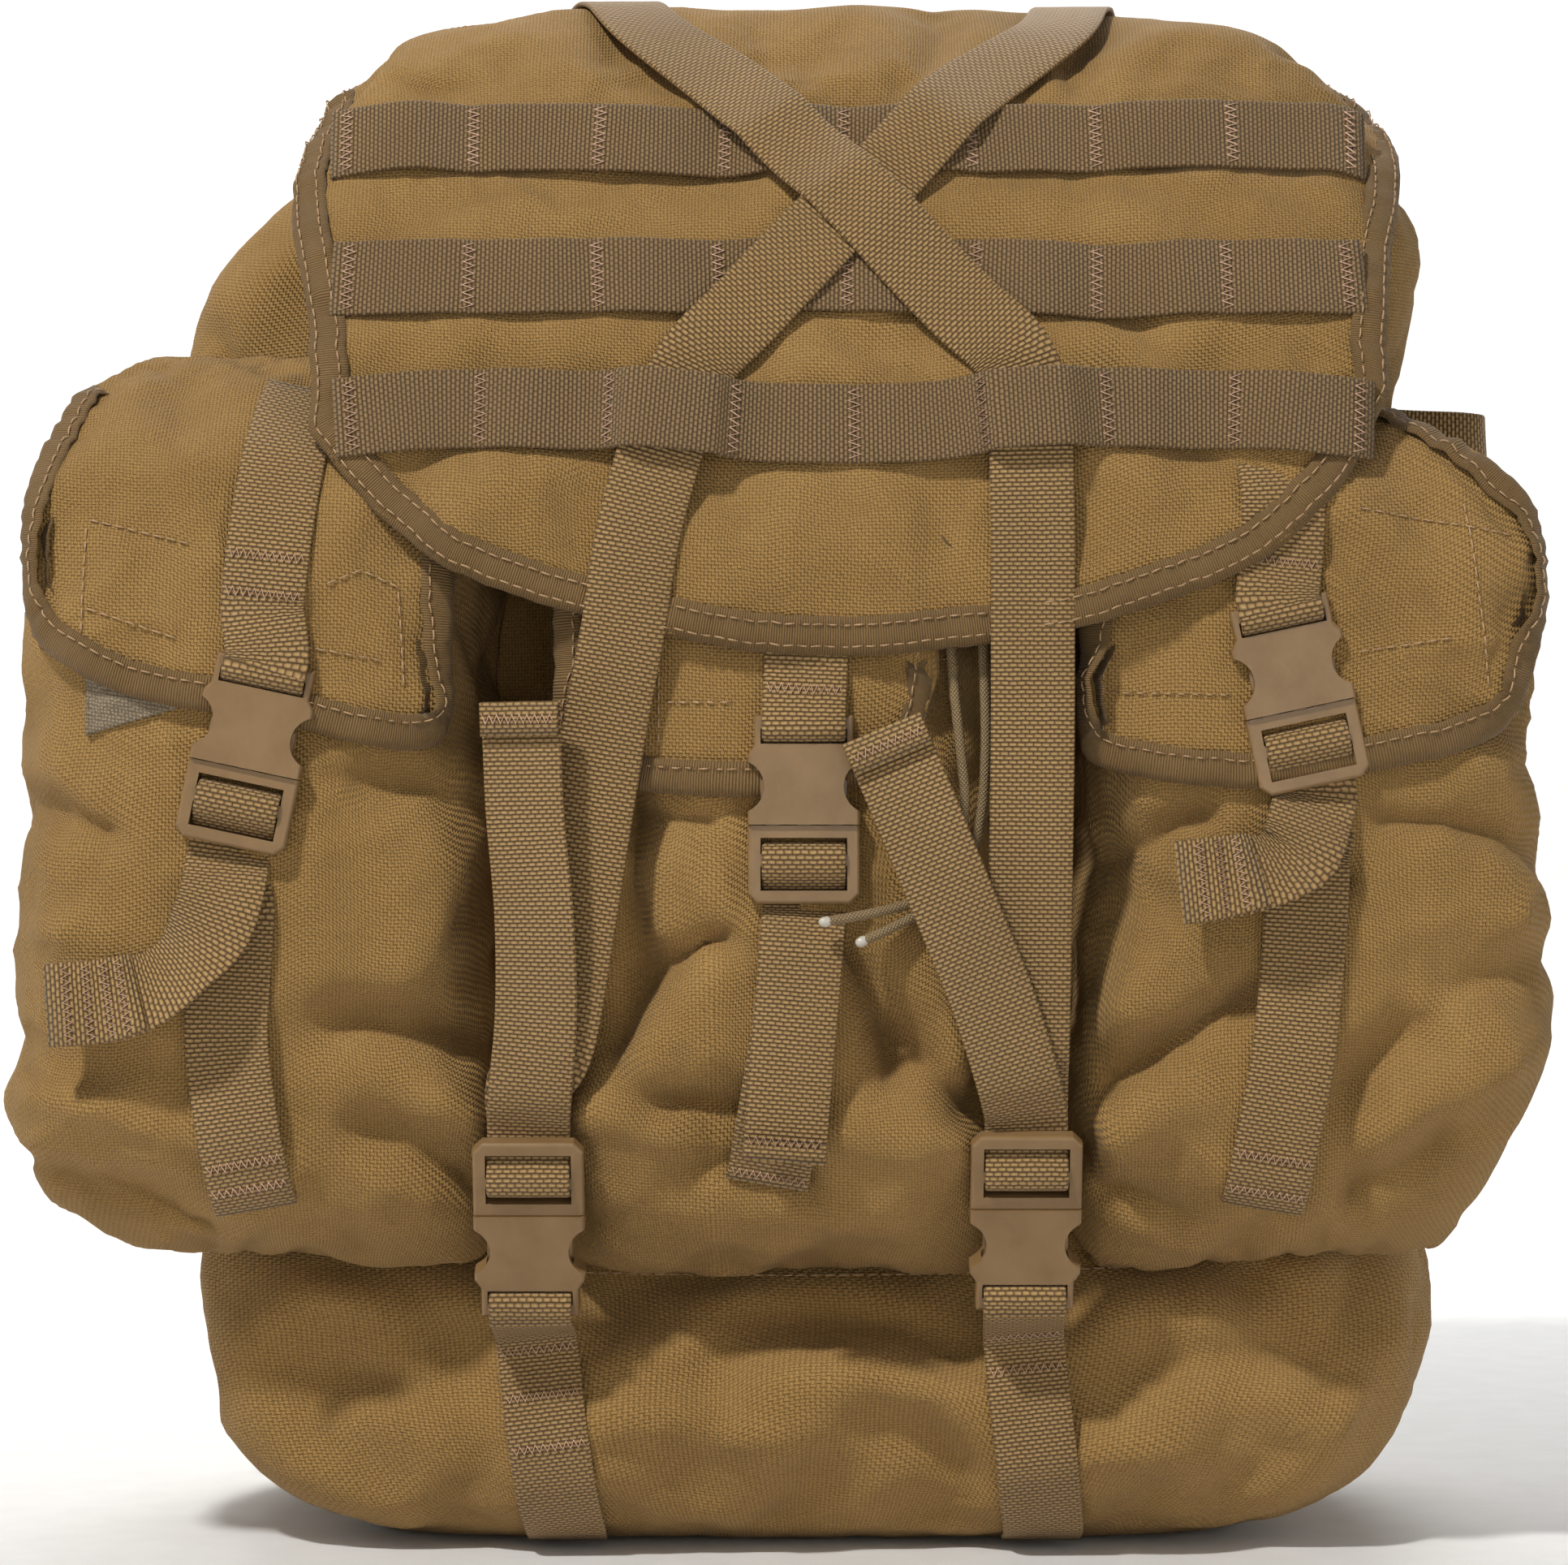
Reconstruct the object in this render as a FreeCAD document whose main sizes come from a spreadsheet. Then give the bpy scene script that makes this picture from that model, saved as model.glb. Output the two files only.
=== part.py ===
import FreeCAD, Part
import os
import re
import Sketcher
from math import cos, hypot, pi, tan

# Large field rucksack, millimetres. +Z up, +Y towards the wearer's back, so the pockets face -Y.
# The origin is on the flat bottom, under the middle of the bag.

Vector = FreeCAD.Vector
doc = FreeCAD.newDocument("rucksack")

SIZES = {
    # main compartment and base
    "bag_half": 190, "bag_front": -75, "bag_back": 95, "bag_top": 440, "bag_corner": 40, "cloth": 3,
    "base_half": 193, "base_front": -100, "base_top": 97, "base_shoulder": 78, "base_corner": 42,
    "base_edge": 24, "collar_half": 160, "collar_top": 466, "collar_inset": 26,
    # three tall pockets
    "pocket_front": -135, "pocket_floor": 100, "pocket_belly": 158, "pocket_brow": 325,
    "pocket_top": 372, "pocket_corner": 22, "side_pocket_half": 76, "side_pocket_mid": 164,
    "centre_pocket_half": 70,
    # lid and pocket flaps
    "lid_thick": 3.5, "lid_mid": 18.5, "lid_half": 171, "lid_hem": 287, "lid_face": -147,
    "lid_hinge_y": 88, "lid_hinge_z": 470, "lid_crown": 491, "flap_thick": 2.5, "flap_face": -139.5,
    "flap_hinge_y": -79, "flap_hinge_z": 377, "binding": 10,
    # webbing
    "web": 25.4, "web_thick": 1.5, "row_pitch": 46, "row_first": 431, "row_half": 157,
    # side-release buckle for 25 mm webbing
    "buckle_half": 17, "female_long": 33, "female_thick": 8.6, "male_long": 24, "male_thick": 6,
    "prong_long": 18, "buckle_gap": 0.3,
    # back panel and harness
    "sheet_thick": 2.4, "stay_wide": 25, "stay_thick": 3, "back_half": 130, "pad_thick": 14,
    "harness_wide": 62, "harness_thick": 13, "harness_mid": 85,
    # drawcord
    "cord_radius": 1.65,
}

sheet = doc.addObject("Spreadsheet::Sheet", "dims")
for row, (alias, value) in enumerate(SIZES.items(), start=1):
    sheet.set(f"A{row}", alias)
    sheet.set(f"B{row}", str(value))
    sheet.setAlias(f"B{row}", alias)
doc.recompute()


def size(alias):
    """One driving dimension, read from the sheet."""
    return float(sheet.get(alias))


def bound(text):
    """The expression with each dimension's name pointed at its cell."""
    return re.sub(r"[a-z][a-z_]*", lambda word: "dims." + word.group(), str(text))


def bind(thing, prop, text):
    """Drive one property by an expression of the sheet's dimensions."""
    thing.setExpression(prop, bound(text))


def origin_plane(body, role):
    return next(plane for plane in body.Origin.OriginFeatures if plane.Role == role)


def new_sketch(body, name, role):
    sketch = body.newObject("Sketcher::SketchObject", name)
    sketch.AttachmentSupport = (origin_plane(body, role), "")
    sketch.MapMode = "FlatFace"
    return sketch


def value_of(sketch, text):
    return float(sketch.evalExpression(bound(text)))


def hold_point(sketch, edge, end, x_text, y_text):
    """Pin one end of an edge, or a circle's centre, at a place given by two expressions."""
    for kind, text, axis in (("DistanceX", x_text, -2), ("DistanceY", y_text, -1)):
        value = value_of(sketch, text)
        if abs(value) < 1e-9:
            sketch.addConstraint(Sketcher.Constraint("PointOnObject", edge, end, axis))
        else:
            number = sketch.addConstraint(Sketcher.Constraint(kind, -1, 1, edge, end, value))
            sketch.setExpression(f"Constraints[{number}]", bound(text))


def draw_outline(sketch, points):
    """A closed outline of straight edges, each corner held by its own two expressions."""
    places = [Vector(value_of(sketch, x), value_of(sketch, y), 0) for x, y in points]
    first = sketch.GeometryCount
    count = len(points)
    for i, place in enumerate(places):
        sketch.addGeometry(Part.LineSegment(place, places[(i + 1) % count]))
    for i, (x_text, y_text) in enumerate(points):
        joined = first + (i + 1) % count
        sketch.addConstraint(Sketcher.Constraint("Coincident", first + i, 2, joined, 1))
        hold_point(sketch, first + i, 1, x_text, y_text)


def draw_circle(sketch, x_text, y_text, radius_text):
    centre = Vector(value_of(sketch, x_text), value_of(sketch, y_text), 0)
    radius = value_of(sketch, radius_text)
    edge = sketch.addGeometry(Part.Circle(centre, Vector(0, 0, 1), radius))
    hold_point(sketch, edge, 3, x_text, y_text)
    number = sketch.addConstraint(Sketcher.Constraint("Radius", edge, radius))
    sketch.setExpression(f"Constraints[{number}]", bound(radius_text))


def offset_path(points, distance_text):
    """The path moved sideways, to the left of its direction, by a distance, with mitred corners."""
    probe = doc.getObject("probe") or doc.addObject("App::FeaturePython", "probe")
    places = [[float(probe.evalExpression(bound(text))) for text in point] for point in points]
    count = len(places)
    moved = []
    for i, (x_text, y_text) in enumerate(points):
        normals = []
        for a, b in ((i - 1, i), (i, i + 1)):
            if a >= 0 and b < count:
                (ax, ay), (bx, by) = places[a], places[b]
                run = hypot(bx - ax, by - ay)
                normals.append((-(by - ay) / run, (bx - ax) / run))
        nx = sum(n[0] for n in normals) / len(normals)
        ny = sum(n[1] for n in normals) / len(normals)
        scale = 1 / (nx * nx + ny * ny)
        moved.append((f"{x_text} + {nx * scale:.5f} * ({distance_text})",
                      f"{y_text} + {ny * scale:.5f} * ({distance_text})"))
    return moved


def band(points, thick_text, stand_off="0"):
    """Closed outline of a strip that follows a path, standing off it to the left."""
    near = offset_path(points, stand_off) if stand_off != "0" else list(points)
    far = offset_path(points, f"{stand_off} + {thick_text}")
    return near + far[::-1]


def new_body(label, place=None):
    body = doc.addObject("PartDesign::Body", label)
    body.Label = label
    if place:
        body.Placement = place
    return body


def pad(body, name, role, outlines, length_text):
    """Raise outlines into a solid, half the length to each side of their plane."""
    sketch = new_sketch(body, name + "_sketch", role)
    for points in outlines:
        draw_outline(sketch, points)
    feature = body.newObject("PartDesign::Pad", name)
    feature.Profile = sketch
    feature.Midplane = True
    bind(feature, "Length", length_text)
    doc.recompute()
    return feature


def pocket(body, name, role, outlines, length_text, circles=()):
    """Cut outlines through the body, half the length to each side of their plane."""
    before = body.Shape.Volume
    sketch = new_sketch(body, name + "_sketch", role)
    for points in outlines:
        draw_outline(sketch, points)
    for circle in circles:
        draw_circle(sketch, *circle)
    feature = body.newObject("PartDesign::Pocket", name)
    feature.Profile = sketch
    feature.Midplane = True
    bind(feature, "Length", length_text)
    doc.recompute()
    if body.Shape.Volume > before - 1:
        raise ValueError(f"{name} cut nothing from {body.Label}")
    return feature


def edges_where(feature, test):
    """Names of the feature's edges whose middle and direction pass a test."""
    names = []
    for number, edge in enumerate(feature.Shape.Edges, start=1):
        first, last = edge.valueAt(edge.FirstParameter), edge.valueAt(edge.LastParameter)
        if test(edge.CenterOfMass, (last - first).normalize()):
            names.append(f"Edge{number}")
    return names


def fillet(body, name, base, radius_text, test):
    feature = body.newObject("PartDesign::Fillet", name)
    feature.Base = (base, edges_where(base, test))
    bind(feature, "Radius", radius_text)
    doc.recompute()
    return feature


def hollow(body, name, base, open_faces):
    """Leave a wall of one cloth thickness, with the faces that pass the test open."""
    names = [f"Face{i}" for i, face in enumerate(base.Shape.Faces, 1) if open_faces(face)]
    feature = body.newObject("PartDesign::Thickness", name)
    feature.Base = (base, names)
    feature.Reversed = True
    feature.Join = 1
    bind(feature, "Value", "cloth")
    doc.recompute()
    return feature


def rect(x_low, x_high, y_low, y_high):
    return [(x_low, y_low), (x_high, y_low), (x_high, y_high), (x_low, y_high)]


# ---------------------------------------------------------------- bag, base and collar

def make_main_bag():
    body = new_body("main_bag")
    block = pad(body, "main_block", "YZ_Plane", [rect("bag_front", "bag_back", "base_top", "bag_top")],
                "2 * bag_half")
    rounded = fillet(body, "main_corners", block, "bag_corner", lambda at, way: abs(way.z) > 0.99)
    hollow(body, "main_wall", rounded, lambda face: abs(face.normalAt(0, 0).z) > 0.99)


def make_base_section():
    body = new_body("base_section")
    side = [("base_front", "0"), ("bag_back", "0"), ("bag_back", "base_top"),
            ("bag_front", "base_top"), ("base_front", "base_shoulder")]
    block = pad(body, "base_block", "YZ_Plane", [side], "2 * base_half")
    corners = fillet(body, "base_corners", block, "base_corner",
                     lambda at, way: abs(way.z) > 0.99)
    edges = fillet(body, "base_edges", corners, "base_edge", lambda at, way: at.z < 0.01)
    hollow(body, "base_wall", edges, lambda face: face.normalAt(0, 0).z > 0.99)


def make_collar():
    """Cloth collar above the bag: its front and back lean in, its two ends stand upright."""
    body = new_body("collar")
    foot_front, foot_back = "bag_front + cloth", "bag_back - cloth"
    head_front, head_back = "bag_front + collar_inset", "bag_back - collar_inset"
    outside = [(foot_front, "bag_top"), (foot_back, "bag_top"), (head_back, "collar_top"),
               (head_front, "collar_top")]
    inside = [(foot_front + " + cloth", "bag_top"), (foot_back + " - cloth", "bag_top"),
              (head_back + " - cloth", "collar_top"), (head_front + " + cloth", "collar_top")]
    pad(body, "collar_block", "YZ_Plane", [outside], "2 * collar_half")
    pocket(body, "collar_space", "YZ_Plane", [inside], "2 * collar_half - 2 * cloth")


# ---------------------------------------------------------------- pockets

POCKETS = {"left": ("-side_pocket_mid", "side_pocket_half"),
           "centre": ("0", "centre_pocket_half"),
           "right": ("side_pocket_mid", "side_pocket_half")}


def make_pocket(side):
    middle, half = POCKETS[side]
    body = new_body("pocket_" + side)
    outline = [("bag_front", "pocket_floor"), ("bag_front", "pocket_top"),
               ("pocket_front", "pocket_brow"), ("pocket_front", "pocket_belly"),
               ("bag_front - 38", "pocket_floor")]
    inside = [("bag_front - cloth", "pocket_floor + cloth"), ("bag_front - cloth", "pocket_top + 9"),
              ("pocket_front + cloth", "pocket_brow + 9"),
              ("pocket_front + cloth", "pocket_belly + 1"),
              ("bag_front - 37", "pocket_floor + cloth")]
    block = pad(body, side + "_block", "YZ_Plane", [outline], f"2 * {half}")
    space = pocket(body, side + "_space", "YZ_Plane", [inside], f"2 * {half} - 2 * cloth")
    inner_x, inner_y = size(half) - size("cloth"), size("pocket_front") + size("cloth")
    rounded = fillet(body, side + "_inner_corners", space, "pocket_corner - cloth",
                     lambda at, way: abs(way.z) > 0.99 and abs(abs(at.x) - inner_x) < 0.01
                     and abs(at.y - inner_y) < 0.01)
    fillet(body, side + "_corners", rounded, "pocket_corner",
           lambda at, way: abs(way.z) > 0.99 and abs(at.x) > inner_x + 1
           and at.y < inner_y - 1)
    bind(body, "Placement.Base.x", middle)


# ---------------------------------------------------------------- lid, flaps and what is sewn on them

def sheet_piece(label, profile, outline):
    """A piece of bent sheet: a side profile run along X, kept only inside a front outline."""
    bent = new_body(label + "_bent")
    pad(bent, label + "_profile", "YZ_Plane", [profile], "3 * bag_half")
    cutter = new_body(label + "_cutter")
    pad(cutter, label + "_outline", "XZ_Plane", [outline], "3 * bag_half")
    piece = doc.addObject("Part::Common", label)
    piece.Label = label
    piece.Base = bent
    piece.Tool = cutter
    doc.recompute()


# Side view of the lid's outer face, from the hem up over the crown to the rear seam.
LID_PATH = [("lid_face", "lid_hem - 40"), ("lid_face", "lid_hem + 48"), ("lid_face + 24", "lid_hem + 108"),
            ("lid_face + 53", "lid_crown - 39"), ("lid_face + 85", "lid_crown - 13"),
            ("0", "lid_crown"), ("lid_hinge_y - 28", "lid_crown - 5"),
            ("lid_hinge_y - 2", "lid_hinge_z + 3")]

# Front view of the lid's edge, down one side, round the hem and up the other.
LID_EDGE = [("lid_mid - lid_half", "lid_crown + 9"), ("lid_mid - lid_half", "lid_hem + 83"),
            ("lid_mid - 0.68 * lid_half", "lid_hem + 32"), ("lid_mid - 0.33 * lid_half", "lid_hem"),
            ("lid_mid + 0.33 * lid_half", "lid_hem"), ("lid_mid + 0.68 * lid_half", "lid_hem + 32"),
            ("lid_mid + lid_half", "lid_hem + 83"), ("lid_mid + lid_half", "lid_crown + 9")]


def lid_layer(low_text, thick_text):
    """Profile of something lying on the lid, a given height above its outer face."""
    return band(LID_PATH, thick_text, low_text)


def make_lid():
    profile = band(LID_PATH, "-lid_thick")
    sheet_piece("lid", profile, offset_path(LID_EDGE, "binding"))
    sheet_piece("lid_binding", profile, band(LID_EDGE, "binding"))


def make_rows():
    """Three rows of webbing across the lid; the third bridges the two closing straps."""
    for number, stand_off in ((1, "0"), (2, "0"), (3, "4.2")):
        low = f"row_first - {number - 1} * row_pitch"
        outline = rect("lid_mid - row_half", "lid_mid + row_half", low, f"{low} + 0.97 * web")
        sheet_piece(f"pals_row_{number}", lid_layer(stand_off, "web_thick - 0.3"), outline)


# Closing straps cross on the lid: each runs from one top corner to the hem on the other side.
STRAP_ROUTES = {"left": ("lid_mid + 75", "lid_mid - 41", "lid_mid - 67", "1.3"),
                "right": ("lid_mid - 70", "lid_mid + 47", "lid_mid + 55", "2.8")}


def make_lid_straps():
    for side, (top_x, turn_x, hem_x, stand_off) in STRAP_ROUTES.items():
        route = [(hem_x, "lid_hem + 3"), (turn_x, "row_first - 2 * row_pitch + 34"),
                 (top_x, "lid_crown + 9")]
        outline = offset_path(route, "-web / 2") + offset_path(route, "web / 2")[::-1]
        sheet_piece("lid_strap_" + side, lid_layer(stand_off, "web_thick - 0.2"), outline)


FLAP_EDGES = {"left": ("-side_pocket_mid", "side_pocket_half + 2", "side_pocket_half + 2", "262"),
              "centre": ("0", "centre_pocket_half + 2", "34", "246"),
              "right": ("side_pocket_mid", "side_pocket_half + 2", "side_pocket_half + 2", "258")}


def make_flap(side):
    """A pocket's flap: from its seam on the bag, down over the pocket's sloping mouth."""
    middle, to_left, to_right, hem = FLAP_EDGES[side]
    path = [("flap_face", hem + " - 40"), ("flap_face", "pocket_brow + 5"),
            ("flap_hinge_y - 1", "flap_hinge_z - 0.5")]
    edge = [(f"{middle} - {to_left}", "flap_hinge_z + 9"), (f"{middle} - {to_left}", hem + " + 24"),
            (f"{middle} - {to_left} + 22", hem), (f"{middle} + {to_right} - 22", hem),
            (f"{middle} + {to_right}", hem + " + 24"), (f"{middle} + {to_right}", "flap_hinge_z + 9")]
    profile = band(path, "-flap_thick")
    sheet_piece("flap_" + side, profile, offset_path(edge, "binding"))
    sheet_piece("flap_binding_" + side, profile, band(edge, "binding"))


# ---------------------------------------------------------------- buckles

def turned(x, y, z, about_y=0, about_x=0):
    """A placement: lean about X first, then turn in the front view about Y."""
    lean = FreeCAD.Rotation(Vector(1, 0, 0), about_x)
    turn = FreeCAD.Rotation(Vector(0, 1, 0), about_y)
    return FreeCAD.Placement(Vector(x, y, z), turn.multiply(lean))


# Each buckle: where its two halves meet, its turn in the front view and its lean.
BUCKLES = {"main_left": turned(-78, -131, 112, 0, 18),
           "main_right": turned(74, -131, 114, 0, 18),
           "pocket_left": turned(-163, -146.4, 248, 192, 0),
           "pocket_centre": turned(6, -146.4, 231, 180, 0),
           "pocket_right": turned(156, -146.4, 266, 168, 0)}


def make_female(name):
    """The socket half: mouth at its own z = 0, webbing slot at the far end, notches at the sides."""
    body = new_body("buckle_socket_" + name, BUCKLES[name])
    outline = [("-buckle_half", "0"), ("-buckle_half", "-female_long + 12"),
               ("2 - buckle_half", "-female_long + 9"), ("2 - buckle_half", "-female_long"),
               ("buckle_half - 2", "-female_long"), ("buckle_half - 2", "-female_long + 9"),
               ("buckle_half", "-female_long + 12"), ("buckle_half", "0")]
    block = pad(body, "socket_block", "XZ_Plane", [outline], "female_thick")
    fillet(body, "socket_rim", block, "1.2", lambda at, way: abs(at.z) > 0.5 and abs(way.y) < 0.5)
    pocket(body, "notches", "XZ_Plane", [], "2 * female_thick",
           [("buckle_half + 3", "-11.5", "8"), ("-buckle_half - 3", "-11.5", "8")])
    pocket(body, "webbing_slot", "XZ_Plane",
           [rect("-web / 2 - 0.4", "web / 2 + 0.4", "4 - female_long", "8.6 - female_long")],
           "2 * female_thick")
    pocket(body, "cavity", "YZ_Plane", [rect("-2.4", "2.4", "-prong_long - 1.5", "5")], "26.8")


def make_male(name):
    """The plug half: a ladder frame above its shoulder, two prongs and a guide tongue below it."""
    body = new_body("buckle_plug_" + name, BUCKLES[name])
    outline = [("-buckle_half", "buckle_gap"), ("buckle_half", "buckle_gap"),
               ("buckle_half", "male_long - 3"), ("buckle_half - 3", "male_long"),
               ("3 - buckle_half", "male_long"), ("-buckle_half", "male_long - 3")]
    frame = pad(body, "ladder", "XZ_Plane", [outline], "male_thick")
    fillet(body, "ladder_rim", frame, "1.2", lambda at, way: at.z > 1 and abs(way.y) < 0.5)
    window = ("-web / 2 - 0.4", "web / 2 + 0.4")
    pocket(body, "windows", "XZ_Plane", [rect(*window, "4", "9"), rect(*window, "12.5", "20")],
           "2 * male_thick")
    prong = [("7.4", "2"), ("7.4", "-prong_long"), ("9.4", "-prong_long"), ("13", "-prong_long + 5"),
             ("13", "-5"), ("11.6", "-2"), ("11.6", "2")]
    mirrored = [("-" + x, z) for x, z in prong]
    pad(body, "prongs", "XZ_Plane", [prong, mirrored, rect("-2", "2", "3 - prong_long", "2")], "4.2")


# ---------------------------------------------------------------- straps

def make_strap(label, path, place=None, wide_text="web", thick_text="web_thick"):
    """A flat strap: its front face follows a path in the side view; it is as wide as its webbing."""
    body = new_body(label, place)
    pad(body, label + "_strip", "YZ_Plane", [band(path, thick_text)], wide_text)


def shifted(x, about_y=0, pivot_z=0):
    """Move a strap to its place across the bag, turned in the front view about a pivot height."""
    turn = FreeCAD.Rotation(Vector(0, 1, 0), about_y)
    return FreeCAD.Placement(Vector(x, 0, 0), turn, Vector(0, 0, pivot_z))


def beside(buckle, depth, height):
    """Side-view place of a point given in a buckle's own depth and height."""
    point = BUCKLES[buckle].multVec(Vector(0, depth, height))
    return f"{point.y:.3f}", f"{point.z:.3f}"


def make_closure_straps():
    """From the lid's hem down behind the bar of each main buckle, with the tail standing in front."""
    for side, x, turn, stand_off in (("left", -77, 11.5, 1.3), ("right", 74, 0, 2.8)):
        buckle = "main_" + side
        path = [(f"lid_face - {stand_off + 1.4}", "lid_hem - 3"), ("-141", "160"),
                beside(buckle, 4.4, 25), beside(buckle, 4.4, 9.5)]
        make_strap("closure_strap_" + side, path, shifted(x, turn, 136))
    for side, x, turn, top, depth in (("left", -78, 0, ("-156", "269"), -4.8),
                                      ("right", 74, -21, ("-160", "266"), -6.8)):
        buckle = "main_" + side
        path = [top, beside(buckle, depth, 26), beside(buckle, depth, 8)]
        make_strap("closure_tail_" + side, path, shifted(x, turn, 138))


def make_bottom_straps():
    """From behind each main buckle's socket down the front of the base to its bottom edge."""
    for side, x in (("left", -76), ("right", 76)):
        buckle = "main_" + side
        make_strap("bottom_strap_" + side,
                   [beside(buckle, 5.2, -23), beside(buckle, 5.2, -36), ("-103.4", "36"),
                    ("-102.5", "22"), ("-99", "10")], shifted(x))


# For each pocket: top of the flap's strap and its turn; turn of the strap sewn on the pocket;
# turn, top and bottom of the loose tail.
POCKET_STRAPS = {"left": (311, 8, 2, 24, 222, 172),
                 "centre": (290, 0, 3, 4, 207, 131),
                 "right": (318, -8, 6, 30, 240, 200)}


def make_pocket_straps():
    """Each pocket's buckle hangs from a strap on the flap; a sewn strap rises from the pocket."""
    for name, (flap_top, flap_turn, sewn_turn, tail_turn, top, bottom) in POCKET_STRAPS.items():
        place = BUCKLES["pocket_" + name]
        x, z = place.Base.x, place.Base.z
        on_flap = "flap_face - web_thick - 0.1"
        make_strap("flap_strap_" + name, [(on_flap, f"{flap_top}"), (on_flap, f"{z + 26}")],
                   shifted(x, flap_turn, z))
        on_pocket = "pocket_front - web_thick - 0.8"
        path = [(on_pocket, f"{z - 12}"), (on_pocket, "pocket_belly"),
                (on_pocket + " + 15.2", "pocket_belly - 40.6")]
        make_strap("pocket_strap_" + name, path, shifted(x, sewn_turn, 200))
        path = [("-151.5", f"{top + 12}"), ("-151.5", f"{top}"), ("-146", f"{bottom}")]
        make_strap("pocket_tail_" + name, path, shifted(x, tail_turn, top))


def make_box(label, x_text, y_text, z_text, wide_text, deep_text, high_text):
    box = doc.addObject("Part::Box", label)
    for prop, text in (("Placement.Base.x", x_text), ("Placement.Base.y", y_text),
                       ("Placement.Base.z", z_text), ("Length", wide_text), ("Width", deep_text),
                       ("Height", high_text)):
        bind(box, prop, text)
    return box


def make_pair(label, pieces):
    """Identical pieces, left and right, as separate solids of one sub-part."""
    pair = doc.addObject("Part::Compound", label)
    pair.Label = label
    pair.Links = pieces
    doc.recompute()


def make_side_trims():
    """Hook patch on the left pocket, a loop high on the right side and a tab low on each side."""
    make_box("hook_patch", "-side_pocket_mid - 45", "pocket_front - web_thick", "260", "28",
             "web_thick", "14")
    loop = new_body("side_loop", FreeCAD.Placement(Vector(0, 0, 353), FreeCAD.Rotation()))
    path = [("bag_half", "-42"), ("bag_half + 38", "-42"), ("bag_half + 40", "-16"), ("bag_half", "-16")]
    pad(loop, "loop_strip", "XY_Plane", [band(path, "web_thick")], "web")
    make_pair("side_tabs", [
        make_box(f"side_tab_{side}", f"{sign} * (base_half + 13) - 13", "5", "base_top + 2", "26",
                 "2 * web_thick", "22") for side, sign in (("left", -1), ("right", 1))])


# ---------------------------------------------------------------- back panel, frame and harness

def make_back():
    """Stiff sheet with two flat stays behind the bag, under a padded panel and a lumbar pad."""
    make_box("frame_sheet", "10 - back_half", "bag_back", "64", "2 * back_half - 20", "sheet_thick",
             "346")
    make_pair("frame_stays", [
        make_box(f"frame_stay_{side}", f"{sign} * 62 - stay_wide / 2", "bag_back + sheet_thick", "70",
                 "stay_wide", "stay_thick", "334") for side, sign in (("left", -1), ("right", 1))])
    body = new_body("back_panel")
    inner = "bag_back + sheet_thick + stay_thick"
    block = pad(body, "back_block", "YZ_Plane", [rect(inner, inner + " + pad_thick", "56", "417")],
                "2 * back_half")
    panel_face = block.Shape.BoundBox.YMax
    fillet(body, "back_rim", block, "pad_thick / 2.2", lambda at, way: at.y > panel_face - 0.01)
    lumbar = new_body("lumbar_pad")
    outer = inner + " + pad_thick"
    block = pad(lumbar, "lumbar_block", "YZ_Plane", [rect(outer, outer + " + 16", "66", "146")],
                "2 * back_half - 88")
    lumbar_face = block.Shape.BoundBox.YMax
    fillet(lumbar, "lumbar_rim", block, "7", lambda at, way: at.y > lumbar_face - 0.01)
    make_box("back_seam", "-collar_half", "bag_back", "426", "2 * collar_half", "sheet_thick", "28")


def make_harness():
    """Two padded shoulder straps, each with a tension lock and webbing down to a bottom tab."""
    near = "bag_back + sheet_thick + stay_thick + pad_thick"
    locks, webs, tabs = [], [], []
    for side, sign in (("left", -1), ("right", 1)):
        path = [(near + " + 7", "404"), (near + " + 25.5", "393"), (near + " + 33", "352"),
                (near + " + 31", "250"), (near + " + 20", "196")]
        body = new_body("shoulder_pad_" + side,
                        FreeCAD.Placement(Vector(sign * size("harness_mid"), 0, 0), FreeCAD.Rotation()))
        pad(body, side + "_pad_strip", "YZ_Plane", [band(path, "-harness_thick")], "harness_wide")
        locks.append(make_ladderlock("harness_lock_" + side, sign))
        webs.append(make_lower_web("harness_strip_" + side, sign))
        tabs.append(make_box("harness_tab_" + side, f"{sign} * (bag_half - 30) - 14", "bag_back",
                             "base_top + 3", "28", "web_thick * 2", "24"))
    make_pair("harness_ladderlocks", locks)
    make_pair("harness_webs", webs)
    make_pair("harness_tabs", tabs)


def make_haul_handle():
    """Folded webbing grab loop hanging behind the lid's seam."""
    handle = new_body("haul_handle")
    path = [("-62", "446"), ("-58", "431"), ("-40", "425"), ("40", "425"), ("58", "431"), ("62", "446")]
    pad(handle, "handle_strip", "XZ_Plane", [band(path, "-3.5")], "8")
    bind(handle, "Placement.Base.y", "bag_back + 6.6")


def make_ladderlock(label, sign):
    """Tension lock at the end of a shoulder strap: a plate with two slots round a middle bar."""
    body = new_body(label, turned(sign * size("harness_mid"), 127, 178, 0, 12))
    pad(body, "lock_plate", "XZ_Plane", [rect("-buckle_half", "buckle_half", "-14", "12")], "4")
    window = ("-web / 2 - 0.4", "web / 2 + 0.4")
    pocket(body, "lock_slots", "XZ_Plane", [rect(*window, "-10", "-3"), rect(*window, "1", "8")], "12")
    return body


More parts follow.
